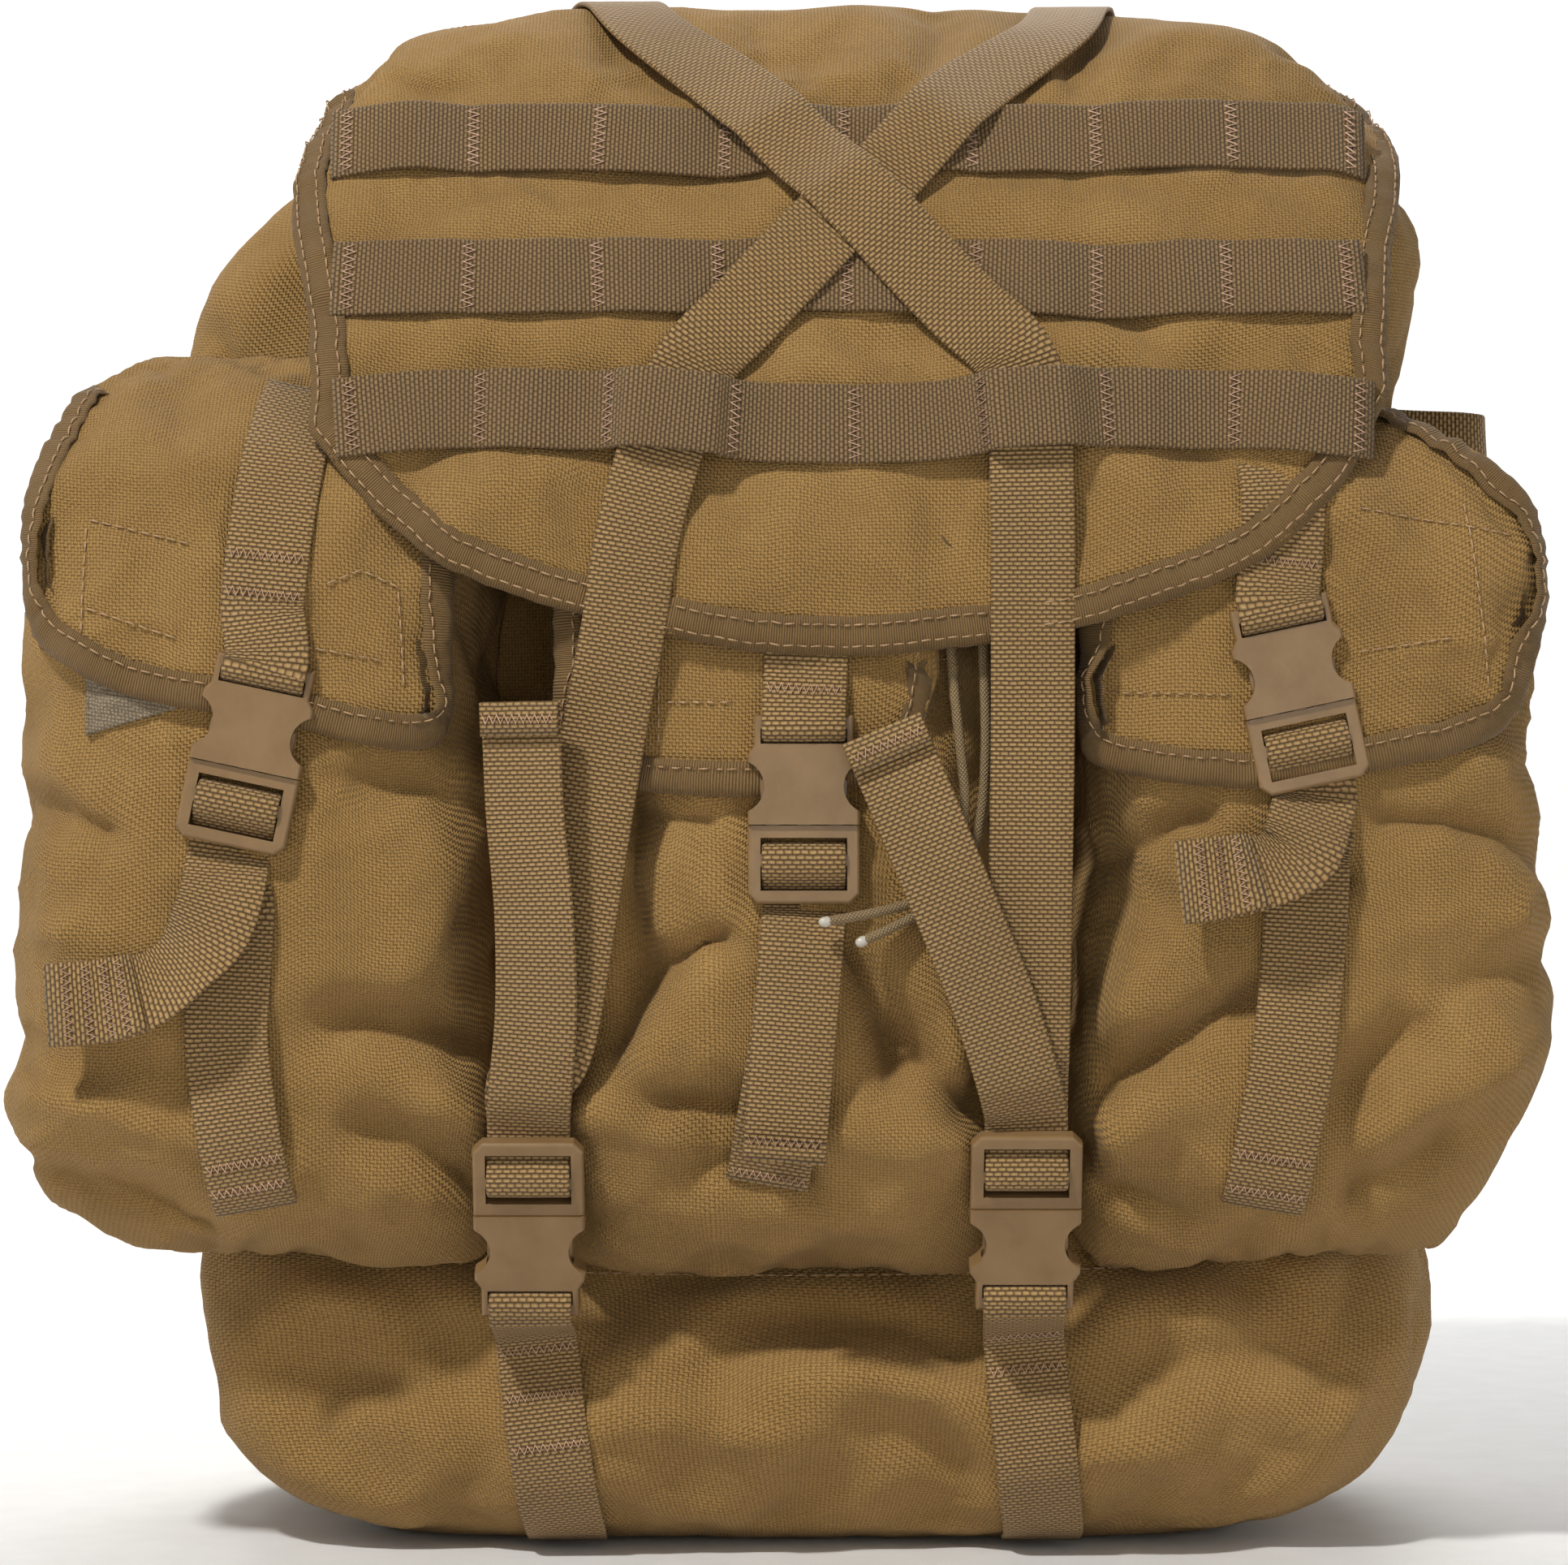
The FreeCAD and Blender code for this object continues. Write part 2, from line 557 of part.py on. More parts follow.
def make_lower_web(label, sign):
    """Webbing from the tension lock down and out to the bottom tab, one straight flat run."""
    start = Vector(sign * (size("harness_mid") + 4), 134.5, 158)
    end = Vector(sign * (size("bag_half") - 24), size("bag_back") + 8.5, size("base_top") + 16)
    run = end - start
    across = Vector(0, 1, 0).cross(run).normalize() * (size("web") / 2)
    through = Vector(0, size("web_thick"), 0)
    corners = [start - across, start + across, end + across, end - across, start - across]
    strip = doc.addObject("Part::Feature", label)
    strip.Label = label
    strip.Shape = Part.Face(Part.makePolygon(corners)).extrude(through)
    return strip


# ---------------------------------------------------------------- drawcord

# The two ends of the collar's drawcord hang out from under the lid, over the centre pocket.
CORD_ROUTES = {
    "drawcord_left": [(50, -139, 306), (50.5, -141, 284), (53, -143.5, 258), (56, -144, 232),
                      (47, -144.5, 210), (30, -150, 204.5), (13, -156.5, 202)],
    "drawcord_right": [(60, -139, 305), (60.5, -141, 283), (61.5, -143.2, 256), (60, -143, 231),
                       (54, -144.5, 212), (40, -146.8, 203), (24, -151.9, 196)],
}


def cord_path(points):
    """Straight runs joined by tangent arcs, each as large as its two runs allow."""
    places = [Vector(*point) for point in points]
    edges = []
    last = places[0]
    for before, corner, after in zip(places, places[1:], places[2:]):
        way_in, way_out = (corner - before).normalize(), (after - corner).normalize()
        half = way_in.getAngle(way_out) / 2
        reach = 0.45 * min((corner - before).Length, (after - corner).Length)
        radius = reach / tan(half)
        start, end = corner - way_in * reach, corner + way_out * reach
        inward = (way_out - way_in).normalize()
        middle = corner + inward * (radius / cos(half) - radius)
        print(f"cord radius {radius:.1f} mm")
        edges += [Part.LineSegment(last, start).toShape(), Part.Arc(start, middle, end).toShape()]
        last = end
    edges.append(Part.LineSegment(last, places[-1]).toShape())
    return Part.Wire(edges)


def make_drawcords():
    for label, points in CORD_ROUTES.items():
        path = cord_path(points)
        heading = Vector(*points[1]) - Vector(*points[0])
        circle = Part.Circle(Vector(*points[0]), heading, size("cord_radius"))
        cord = doc.addObject("Part::Feature", label)
        cord.Label = label
        cord.Shape = path.makePipeShell([Part.Wire(circle.toShape())], True, True)
        expected = pi * size("cord_radius") ** 2 * path.Length
        print(f"{label}: {path.Length:.1f} mm, volume {cord.Shape.Volume / expected:.4f} of section x length")


# ---------------------------------------------------------------- build, check and write

make_main_bag()
make_base_section()
make_collar()
for pocket_side in POCKETS:
    make_pocket(pocket_side)
    make_flap(pocket_side)
make_lid()
make_rows()
make_lid_straps()
for buckle in BUCKLES:
    make_female(buckle)
    make_male(buckle)
make_closure_straps()
make_bottom_straps()
make_pocket_straps()
make_side_trims()
make_back()
make_harness()
make_haul_handle()
make_drawcords()
doc.recompute()

SOLID_TYPES = ("PartDesign::Body", "Part::Common", "Part::Compound", "Part::Box", "Part::Feature")
nodes = []
for item in doc.Objects:
    if "Invalid" in item.State or "Error" in item.State:
        raise RuntimeError(f"{item.Label} failed: {item.State}")
    inside_another = any(user.TypeId in SOLID_TYPES for user in item.InList)
    if item.TypeId in SOLID_TYPES and not inside_another:
        nodes.append(item)

os.makedirs("parts", exist_ok=True)
for old in os.listdir("parts"):
    os.remove(os.path.join("parts", old))
for node in nodes:
    shape = node.Shape
    if shape.isNull() or not shape.isValid() or not shape.Solids:
        raise RuntimeError(f"{node.Label} has no valid solid")
    shape.exportStep(os.path.join("parts", node.Label + ".step"))
print(len(nodes), "nodes")
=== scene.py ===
from math import cos, pi, radians, sin, sqrt

import bmesh
import bpy
import numpy as np
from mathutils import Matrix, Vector, noise
from mathutils.bvhtree import BVHTree


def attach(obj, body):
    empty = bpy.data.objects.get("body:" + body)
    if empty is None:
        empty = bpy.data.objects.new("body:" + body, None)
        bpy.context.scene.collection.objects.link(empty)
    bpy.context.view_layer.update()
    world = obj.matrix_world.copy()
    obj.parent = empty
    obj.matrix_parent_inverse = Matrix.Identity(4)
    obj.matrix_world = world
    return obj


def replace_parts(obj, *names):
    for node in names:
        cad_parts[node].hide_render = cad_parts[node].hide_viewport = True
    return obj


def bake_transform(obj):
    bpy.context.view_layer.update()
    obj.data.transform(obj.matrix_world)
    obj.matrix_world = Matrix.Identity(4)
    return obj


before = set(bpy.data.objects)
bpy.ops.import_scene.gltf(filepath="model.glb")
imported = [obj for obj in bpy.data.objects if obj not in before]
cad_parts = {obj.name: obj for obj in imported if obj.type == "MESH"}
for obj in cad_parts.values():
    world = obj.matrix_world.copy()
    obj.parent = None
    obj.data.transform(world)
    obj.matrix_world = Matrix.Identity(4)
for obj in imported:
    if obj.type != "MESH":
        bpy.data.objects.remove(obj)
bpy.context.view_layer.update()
MM = 0.001
WEB = 25.4 * MM          # webbing width
WEB_THICK = 1.7 * MM
THREAD_RADIUS = 0.3 * MM
FINE_THREAD = 0.28 * MM
ON_WEB = 1.2 * MM        # how far one strap's centre stands off what it lies on
CLOTH_THICK = 1.6 * MM
CLOTH_STIFFNESS = 18.0
CLOTH_BENDING = 3.0
WRINKLE = 0.9 * MM       # height of the sharp small wrinkles


# ------------------------------------------------------------------ materials

class Nodes:
    """A material's node tree, with short calls to add and join nodes."""

    def __init__(self, name):
        self.material = bpy.data.materials.new(name)
        self.material.use_nodes = True
        self.tree = self.material.node_tree
        self.shader = self.tree.nodes["Principled BSDF"]

    def add(self, kind, inputs=(), **settings):
        node = self.tree.nodes.new(kind)
        for key, value in settings.items():
            setattr(node, key, value)
        for key, value in dict(inputs).items():
            if isinstance(value, bpy.types.NodeSocket):
                self.tree.links.new(value, node.inputs[key])
            else:
                node.inputs[key].default_value = value
        return node

    def math(self, operation, a, b=0.0):
        return self.add("ShaderNodeMath", {0: a, 1: b}, operation=operation).outputs[0]

    def times(self, a, b):
        return self.math("MULTIPLY", a, b)

    def plus(self, a, b):
        return self.math("ADD", a, b)

    def waves(self, value, pitch):
        """Rounded ridges, one for each pitch."""
        return self.math("ABSOLUTE", self.math("SINE", self.times(value, pi / pitch)))

    def start(self):
        """The piece's own lengths (both, along, across) and the place in space."""
        uv = self.add("ShaderNodeUVMap").outputs["UV"]
        split = self.add("ShaderNodeSeparateXYZ", {"Vector": uv})
        return uv, split.outputs["X"], split.outputs["Y"], self.place()

    def place(self):
        return self.add("ShaderNodeNewGeometry").outputs["Position"]

    def mix(self, factor, a, b):
        node = self.add("ShaderNodeMix", {"Factor": factor}, data_type="RGBA")
        for socket, value in ((6, a), (7, b)):
            if isinstance(value, bpy.types.NodeSocket):
                self.tree.links.new(value, node.inputs[socket])
            else:
                node.inputs[socket].default_value = (*value, 1)
        return node.outputs[2]

    def noise(self, vector, scale, detail=3.0, rough=0.55):
        return self.add("ShaderNodeTexNoise", {"Vector": vector, "Scale": scale, "Detail": detail,
                                               "Roughness": rough}).outputs["Fac"]

    def ramp(self, value, low, high, a, b):
        node = self.add("ShaderNodeMapRange", {"Value": value, "From Min": low, "From Max": high,
                                               "To Min": a, "To Max": b})
        return node.outputs["Result"]

    def finish(self, color, roughness, height=None, depth=0.0003, strength=0.6, **fixed):
        bsdf = self.shader
        self.tree.links.new(color, bsdf.inputs["Base Color"])
        if isinstance(roughness, bpy.types.NodeSocket):
            self.tree.links.new(roughness, bsdf.inputs["Roughness"])
        else:
            bsdf.inputs["Roughness"].default_value = roughness
        if height is not None:
            bump = self.add("ShaderNodeBump", {"Height": height, "Distance": depth,
                                               "Strength": strength})
            self.tree.links.new(bump.outputs["Normal"], bsdf.inputs["Normal"])
        for key, value in fixed.items():
            bsdf.inputs[key.replace("_", " ")].default_value = value
        return self.material


def woven(name, dark, light, pitch, depth, faded=0.12):
    """Plain weave drawn from the piece's own lengths: warp over weft, square by square, the threads' crowns
    painted lighter and the gaps painted darker as shade.
    """
    n = Nodes(name)
    uv, x, y, place = n.start()
    wobble = n.times(n.noise(uv, 260.0, 1.0), 0.25 * pitch)
    u, v = n.plus(x, wobble), n.plus(y, wobble)
    cells = [n.math("FLOOR", n.math("DIVIDE", way, pitch)) for way in (u, v)]
    over = n.math("FLOORED_MODULO", n.plus(*cells), 2.0)
    threads = n.plus(n.times(n.waves(u, pitch), over),
                     n.times(n.waves(v, pitch), n.math("SUBTRACT", 1.0, over)))
    speck = n.noise(uv, 1100.0, 2.0, 0.7)
    cloud = n.noise(place, 9.0, 4.0, 0.6)
    patch = n.noise(place, 38.0, 3.0, 0.6)
    height = n.plus(n.times(threads, 0.75), n.times(speck, 0.5))
    # Colour by thread height: painted shade between the threads and lighter crowns, plus a random heathered
    # speck.
    tone = n.plus(n.ramp(threads, 0.0, 0.9, 0.05, 0.62), n.ramp(speck, 0.3, 0.7, 0.0, 0.38))
    worn = tuple(min(1.0, c * 1.25 + 0.012) for c in light)
    faint = n.times(n.ramp(cloud, 0.35, 0.7, 0.0, 1.0), faded * 2.0)
    color = n.mix(faint, n.mix(tone, dark, light), worn)
    color = n.mix(n.ramp(patch, 0.3, 0.75, 0.0, faded * 1.6), color, dark)
    roughness = n.ramp(speck, 0.25, 0.75, 0.72, 0.9)
    return n.finish(color, roughness, height, depth, 0.9, Sheen_Weight=0.06, Sheen_Roughness=0.5,
                    Specular_IOR_Level=0.2)


def webbed(name, dark, light, rib, dash, depth):
    """Webbing: rows of short weft dashes laid like bricks across the strap, each dash's top painted paler
    as a highlight and the gaps painted darker as shade.
    """
    n = Nodes(name)
    uv, x, y, place = n.start()
    wobble = n.times(n.noise(uv, 240.0, 1.0), 0.3 * rib)
    run = n.math("DIVIDE", n.plus(x, wobble), rib)
    shift = n.times(n.math("FLOORED_MODULO", n.math("FLOOR", run), 2.0), 0.5)
    brick = n.plus(n.math("DIVIDE", y, dash), shift)
    crown = n.times(n.waves(run, 1), n.math("POWER", n.waves(brick, 1), 0.5))
    speck = n.noise(uv, 1500.0, 2.0, 0.7)
    cloud = n.noise(place, 14.0, 4.0, 0.6)
    # Colour by height: painted highlight on each dash's crown and painted shade in the gaps, varied by
    # random speck.
    tone = n.times(n.ramp(crown, 0.1, 0.85, 0.0, 1.0), n.ramp(speck, 0.25, 0.7, 0.65, 1.0))
    color = n.mix(n.ramp(cloud, 0.35, 0.7, 0.0, 0.22), n.mix(tone, dark, light), dark)
    return n.finish(color, n.ramp(speck, 0.25, 0.75, 0.45, 0.7), crown, depth, 0.9,
                    Sheen_Weight=0.08, Sheen_Roughness=0.5, Specular_IOR_Level=0.35)


def ribbed(name, dark, light, pitch, depth):
    """Grosgrain tape: fine ribs across the tape."""
    n = Nodes(name)
    uv, x, _, place = n.start()
    ribs = n.waves(x, pitch)
    speck = n.noise(uv, 1500.0, 2.0, 0.7)
    patch = n.noise(place, 55.0, 3.0)
    tone = n.plus(n.times(ribs, 0.65), n.ramp(speck, 0.3, 0.7, 0.0, 0.35))
    color = n.mix(n.ramp(patch, 0.3, 0.7, 0.0, 0.3), n.mix(tone, dark, light), dark)
    return n.finish(color, n.ramp(speck, 0.3, 0.7, 0.62, 0.82), n.plus(ribs, n.times(speck, 0.4)),
                    depth, 0.8, Sheen_Weight=0.1, Specular_IOR_Level=0.3)


def moulded(name, dark, light, roughness, scuff=0.25):
    """Satin moulded plastic: fine mould texture, faint flow clouds and rubbed patches."""
    n = Nodes(name)
    place = n.place()
    fine = n.noise(place, 2600.0, 2.0, 0.6)
    cloud = n.noise(place, 60.0, 4.0)
    rub = n.noise(place, 420.0, 5.0, 0.7)
    color = n.mix(n.ramp(cloud, 0.3, 0.7, 0.0, 1.0), dark, light)
    pale = tuple(min(1.0, c * 1.35 + 0.01) for c in light)
    color = n.mix(n.ramp(rub, 0.58, 0.8, 0.0, scuff), color, pale)
    shine = n.plus(n.ramp(rub, 0.35, 0.75, roughness - 0.06, roughness + 0.1), n.times(fine, 0.06))
    return n.finish(color, shine, n.plus(n.times(fine, 0.6), n.times(rub, 0.4)), 0.00008, 0.35)


def twisted(name, dark, light):
    """Sewing thread: fine slanting twist along each stitch."""
    n = Nodes(name)
    place = n.place()
    twist = n.add("ShaderNodeTexWave", {"Vector": place, "Scale": 700.0, "Distortion": 1.0,
                                        "Detail": 1.0}, bands_direction="DIAGONAL").outputs["Fac"]
    patch = n.noise(place, 90.0)
    color = n.mix(n.ramp(patch, 0.3, 0.7, 0.2, 1.0), n.mix(twist, dark, light), light)
    return n.finish(color, 0.7, twist, 0.00005, 0.5)


def hooked(name, dark, light):
    """Hook tape: rows of tiny stiff hooks."""
    n = Nodes(name)
    uv = n.start()[0]
    cells = n.add("ShaderNodeTexVoronoi", {"Vector": uv, "Scale": 900.0, "Randomness": 0.35})
    near = n.ramp(cells.outputs["Distance"], 0.1, 0.6, 1.0, 0.0)
    patch = n.noise(uv, 160.0)
    color = n.mix(n.ramp(patch, 0.3, 0.7, 0.0, 0.4), n.mix(near, dark, light), dark)
    return n.finish(color, 0.6, near, 0.0005, 0.9)


def braided(name, dark, light, pitch=0.0013):
    """Braided sheath: strands crossing on the slant."""
    n = Nodes(name)
    uv, x, y, _ = n.start()
    strands = n.times(n.waves(n.plus(x, y), pitch), n.waves(n.math("SUBTRACT", x, y), pitch))
    tone = n.plus(n.times(strands, 0.8), n.times(n.noise(uv, 2500.0), 0.2))
    return n.finish(n.mix(tone, dark, light), 0.65, strands, 0.0004, 0.9)


CLOTH = woven("pack_cloth", (0.085, 0.043, 0.009), (0.46, 0.272, 0.088), 0.00105, 0.0006)
WEBBING = webbed("webbing", (0.09, 0.047, 0.013), (0.53, 0.33, 0.128), 0.00133, 0.0025, 0.0006)
# A darker copy of the same webbing for the lid's rows: painted shade on the rows, not a different webbing.
SHADED_ROW_WEBBING = webbed("row_webbing_painted_shade", (0.075, 0.041, 0.013), (0.34, 0.215, 0.096), 0.00133, 0.0018, 0.0005)
TAPE = ribbed("binding_tape", (0.095, 0.052, 0.016), (0.27, 0.16, 0.058), 0.00076, 0.0004)
PLASTIC = moulded("buckle_plastic", (0.20, 0.116, 0.046), (0.265, 0.16, 0.07), 0.33)
BLACK_PLASTIC = moulded("frame_plastic", (0.02, 0.02, 0.02), (0.035, 0.034, 0.032), 0.5)
THREAD = twisted("sewing_thread", (0.40, 0.235, 0.15), (0.66, 0.43, 0.30))
DARK_THREAD = twisted("seam_thread", (0.27, 0.155, 0.07), (0.50, 0.32, 0.17))
HOOKS = hooked("hook_tape", (0.16, 0.115, 0.07), (0.42, 0.34, 0.22))
SHEATH = braided("cord_sheath", (0.14, 0.085, 0.035), (0.46, 0.33, 0.17))
MELTED = moulded("melted_cord", (0.42, 0.38, 0.32), (0.62, 0.58, 0.50), 0.25)
METAL = moulded("stay_metal", (0.60, 0.61, 0.62), (0.74, 0.75, 0.76), 0.35, 0.1)
METAL.node_tree.nodes["Principled BSDF"].inputs["Metallic"].default_value = 1.0
FLOOR = moulded("pale_floor", (0.80, 0.80, 0.795), (0.84, 0.84, 0.835), 0.75, 0.0)


# ------------------------------------------------------------------ mesh helpers

def new_piece(name, verts, faces, uvs, material, body=None, smooth=True, slot=None):
    """An object from plain lists; uvs has one (u, v) in metres for each corner of each face."""
    mesh = bpy.data.meshes.new(name)
    mesh.from_pydata([tuple(v) for v in verts], [], faces)
    if uvs is not None:
        layer = mesh.uv_layers.new(name="UVMap")
        layer.data.foreach_set("uv", np.asarray(uvs, dtype=float).ravel())
    mesh.materials.append(material)
    mesh.polygons.foreach_set("use_smooth", [smooth] * len(mesh.polygons))
    mesh.update()
    obj = bpy.data.objects.new(name, mesh)
    bpy.context.scene.collection.objects.link(obj)
    if body:
        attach(obj, body)
    return obj


def grid_faces(rows, columns, loop_rows=False, loop_columns=False):
    faces, corners = [], []
    last_row = rows if loop_rows else rows - 1
    last_column = columns if loop_columns else columns - 1
    for i in range(last_row):
        for j in range(last_column):
            quad = ((i, j), (i + 1, j), (i + 1, j + 1), (i, j + 1))
            faces.append([(a % rows) * columns + b % columns for a, b in quad])
            corners += quad
    return faces, corners


def lengths(points, axis):
    """Distance run along one axis of a grid of points, from its first row or column."""
    steps = np.linalg.norm(np.diff(points, axis=axis), axis=2)
    start = np.zeros_like(np.take(steps, [0], axis=axis))
    return np.cumsum(np.concatenate([start, steps], axis=axis), axis=axis)


def grid_piece(name, points, material, body=None, slot=None, loop_columns=False, turn=False):
    """A sheet from a grid of points [row][column]; its UVs are real lengths, for the weave."""
    rows, columns = points.shape[:2]
    faces, corners = grid_faces(rows, columns, False, loop_columns)
    closed = np.concatenate([points, points[:, :1]], axis=1) if loop_columns else points
    along, across = lengths(closed, 0), lengths(closed, 1)
    across = np.broadcast_to(across[rows // 2], across.shape)
    uvs = [(across[i, j], along[i, j]) for i, j in corners]
    if turn:
        faces = [face[::-1] for face in faces]
        uvs = [uv for k in range(0, len(uvs), 4) for uv in uvs[k:k + 4][::-1]]
    return new_piece(name, points.reshape(-1, 3), faces, uvs, material, body, True, slot)


def apply_modifiers(obj):
    """Bake every modifier into the mesh."""
    graph = bpy.context.evaluated_depsgraph_get()
    mesh = bpy.data.meshes.new_from_object(obj.evaluated_get(graph))
    obj.modifiers.clear()
    old = obj.data
    obj.data = mesh
    bpy.data.meshes.remove(old)
    return obj


def thicken(obj, thickness, offset=-1.0):
    solid = obj.modifiers.new("thickness", "SOLIDIFY")
    solid.thickness = thickness
    solid.offset = offset
    return apply_modifiers(obj)


def subdivide(obj):
    subsurf = obj.modifiers.new("smooth", "SUBSURF")
    subsurf.levels = 1
    subsurf.uv_smooth = "PRESERVE_BOUNDARIES"
    return apply_modifiers(obj)


def read_vectors(collection, field):
    values = np.empty(len(collection) * 3)
    collection.foreach_get(field, values)
    return values.reshape(-1, 3)


def vertices(obj):
    return read_vectors(obj.data.vertices, "co")


def move_vertices(obj, places):
    obj.data.vertices.foreach_set("co", places.ravel())
    obj.data.update()


def crumple(obj, pinned, pressure, grow, frames=16, cap=0.008):
    """Cloth simulation: the sheet is a little larger than its seams, so it buckles into folds.

    pinned weighs each vertex's hold, grow is the share of extra cloth and cap the furthest move."""
    start = vertices(obj)
    group = obj.vertex_groups.new(name="pinned")
    for index, weight in enumerate(pinned):
        if weight > 0:
            group.add([index], float(weight), "REPLACE")
    cloth = obj.modifiers.new("cloth", "CLOTH")
    settings = cloth.settings
    settings.quality = 6
    settings.mass = 0.25
    settings.tension_stiffness = settings.compression_stiffness = CLOTH_STIFFNESS
    settings.shear_stiffness = CLOTH_STIFFNESS / 3
    settings.bending_stiffness = CLOTH_BENDING
    settings.vertex_group_mass = "pinned"
    settings.use_pressure = True
    settings.uniform_pressure_force = pressure
    settings.shrink_min = settings.shrink_max = -grow
    settings.effector_weights.gravity = 0.0
    cloth.collision_settings.use_collision = False
    scene = bpy.context.scene
    cloth.point_cache.frame_start = 1
    cloth.point_cache.frame_end = frames
    for number in range(1, frames + 1):
        scene.frame_set(number)
    settled = obj.evaluated_get(bpy.context.evaluated_depsgraph_get())
    places = read_vectors(settled.to_mesh().vertices, "co")
    settled.to_mesh_clear()
    obj.modifiers.clear()
    obj.vertex_groups.clear()
    scene.frame_set(1)
    move = places - start
    far = np.linalg.norm(move, axis=1, keepdims=True)
    move *= np.tanh(far / cap) * cap / np.maximum(far, 1e-9)
    move_vertices(obj, start + move)
    return obj


def fold_noise(point, scale, seed=0.0):
    return noise.noise(Vector(point) * scale + Vector((seed, 1.7 * seed, -seed)))


def noise_over(grid, scale, seed, stretch=(1, 1, 1)):
    """Soft noise at each point of a grid."""
    return np.array([[fold_noise(p * np.array(stretch), scale, seed) for p in row] for row in grid])


def ridges_over(grid, scale, seed, stretch=(1, 1, 1)):
    """Noise folded into sharp ridges."""
    return 1 - 2 * np.abs(noise_over(grid, scale, seed, stretch))


def run_along(line):
    """Distance run at each point of a line, from its start."""
    return np.concatenate([[0], np.cumsum(np.linalg.norm(np.diff(line, axis=0), axis=1))])


def nearest(values, target):
    return int(np.argmin(np.abs(values - target)))


def mixed(at, run, vectors):
    """Vectors known along a run, read at other distances."""
    return np.stack([np.interp(at, run, vectors[:, k]) for k in range(vectors.shape[1])], axis=-1)


def smooth_path(points, count):
    """Catmull-Rom curve through the points, evenly resampled by length."""
    p = np.array(points, dtype=float)
    p = np.vstack([2 * p[0] - p[1], p, 2 * p[-1] - p[-2]])
    fine = []
    for k in range(1, len(p) - 2):
        for t in np.linspace(0, 1, 24, endpoint=False):
            a, b, c, d = p[k - 1], p[k], p[k + 1], p[k + 2]
            fine.append(0.5 * (2 * b + (c - a) * t + (2 * a - 5 * b + 4 * c - d) * t * t
                               + (3 * b - a - 3 * c + d) * t ** 3))
    fine.append(p[-2])
    fine = np.array(fine)
    run = run_along(fine)
    return mixed(np.linspace(0, run[-1], count), run, fine)


def eased(t):
    return t * t * (3 - 2 * t)


def unit(v):
    v = np.asarray(v, dtype=float)
    return v / np.maximum(np.linalg.norm(v, axis=-1, keepdims=True), 1e-12)


# ------------------------------------------------------------------ webbing, tape and stitches

def tube_mesh(routes, radius, sides=5):
    """Vertices and faces of thin round tubes along several short routes."""
    verts, faces = [], []
    for route in routes:
        route = np.asarray(route, dtype=float)
        ahead = unit(np.gradient(route, axis=0))
        hint = np.array([0.0, -1.0, 0.0]) if abs(ahead[0][1]) < 0.9 else np.array([1.0, 0, 0])
        side = unit(np.cross(ahead, hint))
        up = np.cross(side, ahead)
        base = len(verts)
        count = len(route)
        for k, point in enumerate(route):
            size = radius * (0.35 if k in (0, count - 1) and count > 2 else 1.0)
            for j in range(sides):
                turn = 2 * pi * j / sides
                verts.append(point + side[k] * cos(turn) * size + up[k] * sin(turn) * size)
        for k in range(count - 1):
            for j in range(sides):
                a, b = base + k * sides + j, base + k * sides + (j + 1) % sides
                faces.append([a, a + sides, b + sides, b])
        faces.append([base + j for j in range(sides)])
        faces.append([base + (count - 1) * sides + j for j in range(sides)][::-1])
    return verts, faces


def thread_piece(name, routes, radius, body, material=THREAD):
    return new_piece(name, *tube_mesh(routes, radius), None, material, body, True, "webbing")


def stitch_routes(line, lift, pitch=4.2 * MM, length=2.8 * MM):
    """Short raised stitches along a line; lift is the outward direction times its height."""
    line = np.asarray(line, dtype=float)
    run = run_along(line)
    lift = np.asarray(lift, dtype=float)
    if lift.ndim == 1:
        lift = np.repeat(lift[None], len(line), axis=0)

    routes = []
    s = pitch / 2
    while s + length < run[-1]:
        at = np.array([s, s + length / 2, s + length])
        (a, m, b), (la, lm, lb) = mixed(at, run, line), mixed(at, run, lift)
        routes.append([a, a + la * 0.7, m + lm, b + lb * 0.7, b])
        s += pitch
    return routes


def zigzag(start, end, lift, width=0.0034, turns=15):
    """A bar tack: thread sewn to and fro between two ends."""
    start, end, lift = (np.asarray(v, dtype=float) for v in (start, end, lift))
    ahead = unit(end - start)
    side = np.cross(ahead, unit(lift)) * width / 2
    route = []
    for k in range(turns + 1):
        t = k / turns
        route.append(start + (end - start) * t + side * (1 if k % 2 else -1) + lift)
    return route


def tree_of(*objs):
    """One search tree over several pieces' surfaces."""
    verts, faces = [], []
    for obj in objs:
        base = len(verts)
        verts += [v.co.copy() for v in obj.data.vertices]
        faces += [[base + i for i in p.vertices] for p in obj.data.polygons]
    return BVHTree.FromPolygons(verts, faces)


def front_of(tree, x, z, fallback=-0.075):
    """Depth of the foremost surface at a place in the front view."""
    hit = tree.ray_cast(Vector((x, -0.4, z)), Vector((0, 1, 0)))[0]
    return fallback if hit is None else hit.y


# ------------------------------------------------------------------ shaping helpers

def mm(*points):
    return [tuple(MM * c for c in point) for point in points]


def resample(path, looks, step):
    """Evenly spaced centres along a smooth curve, with the way the face looks at each."""
    path = np.array(path, dtype=float)
    looks = np.array(looks, dtype=float)
    if looks.ndim == 1:
        looks = np.repeat(looks[None], len(path), axis=0)
    total = np.linalg.norm(np.diff(path, axis=0), axis=1).sum()
    both = smooth_path(np.hstack([path, looks * 0.03]), max(8, int(total / step)))
    return both[:, :3], unit(both[:, 3:])


def aim(centre, look):
    """Across and outward directions of a ribbon, square to its run."""
    ahead = unit(np.gradient(centre, axis=0))
    look = unit(look - ahead * (look * ahead).sum(1, keepdims=True))
    return np.cross(ahead, look), look


def laid(path, looks, step):
    """A ribbon's centres and directions along a path in the open."""
    centre, look = resample(path, looks, step)
    return (centre, *aim(centre, look))


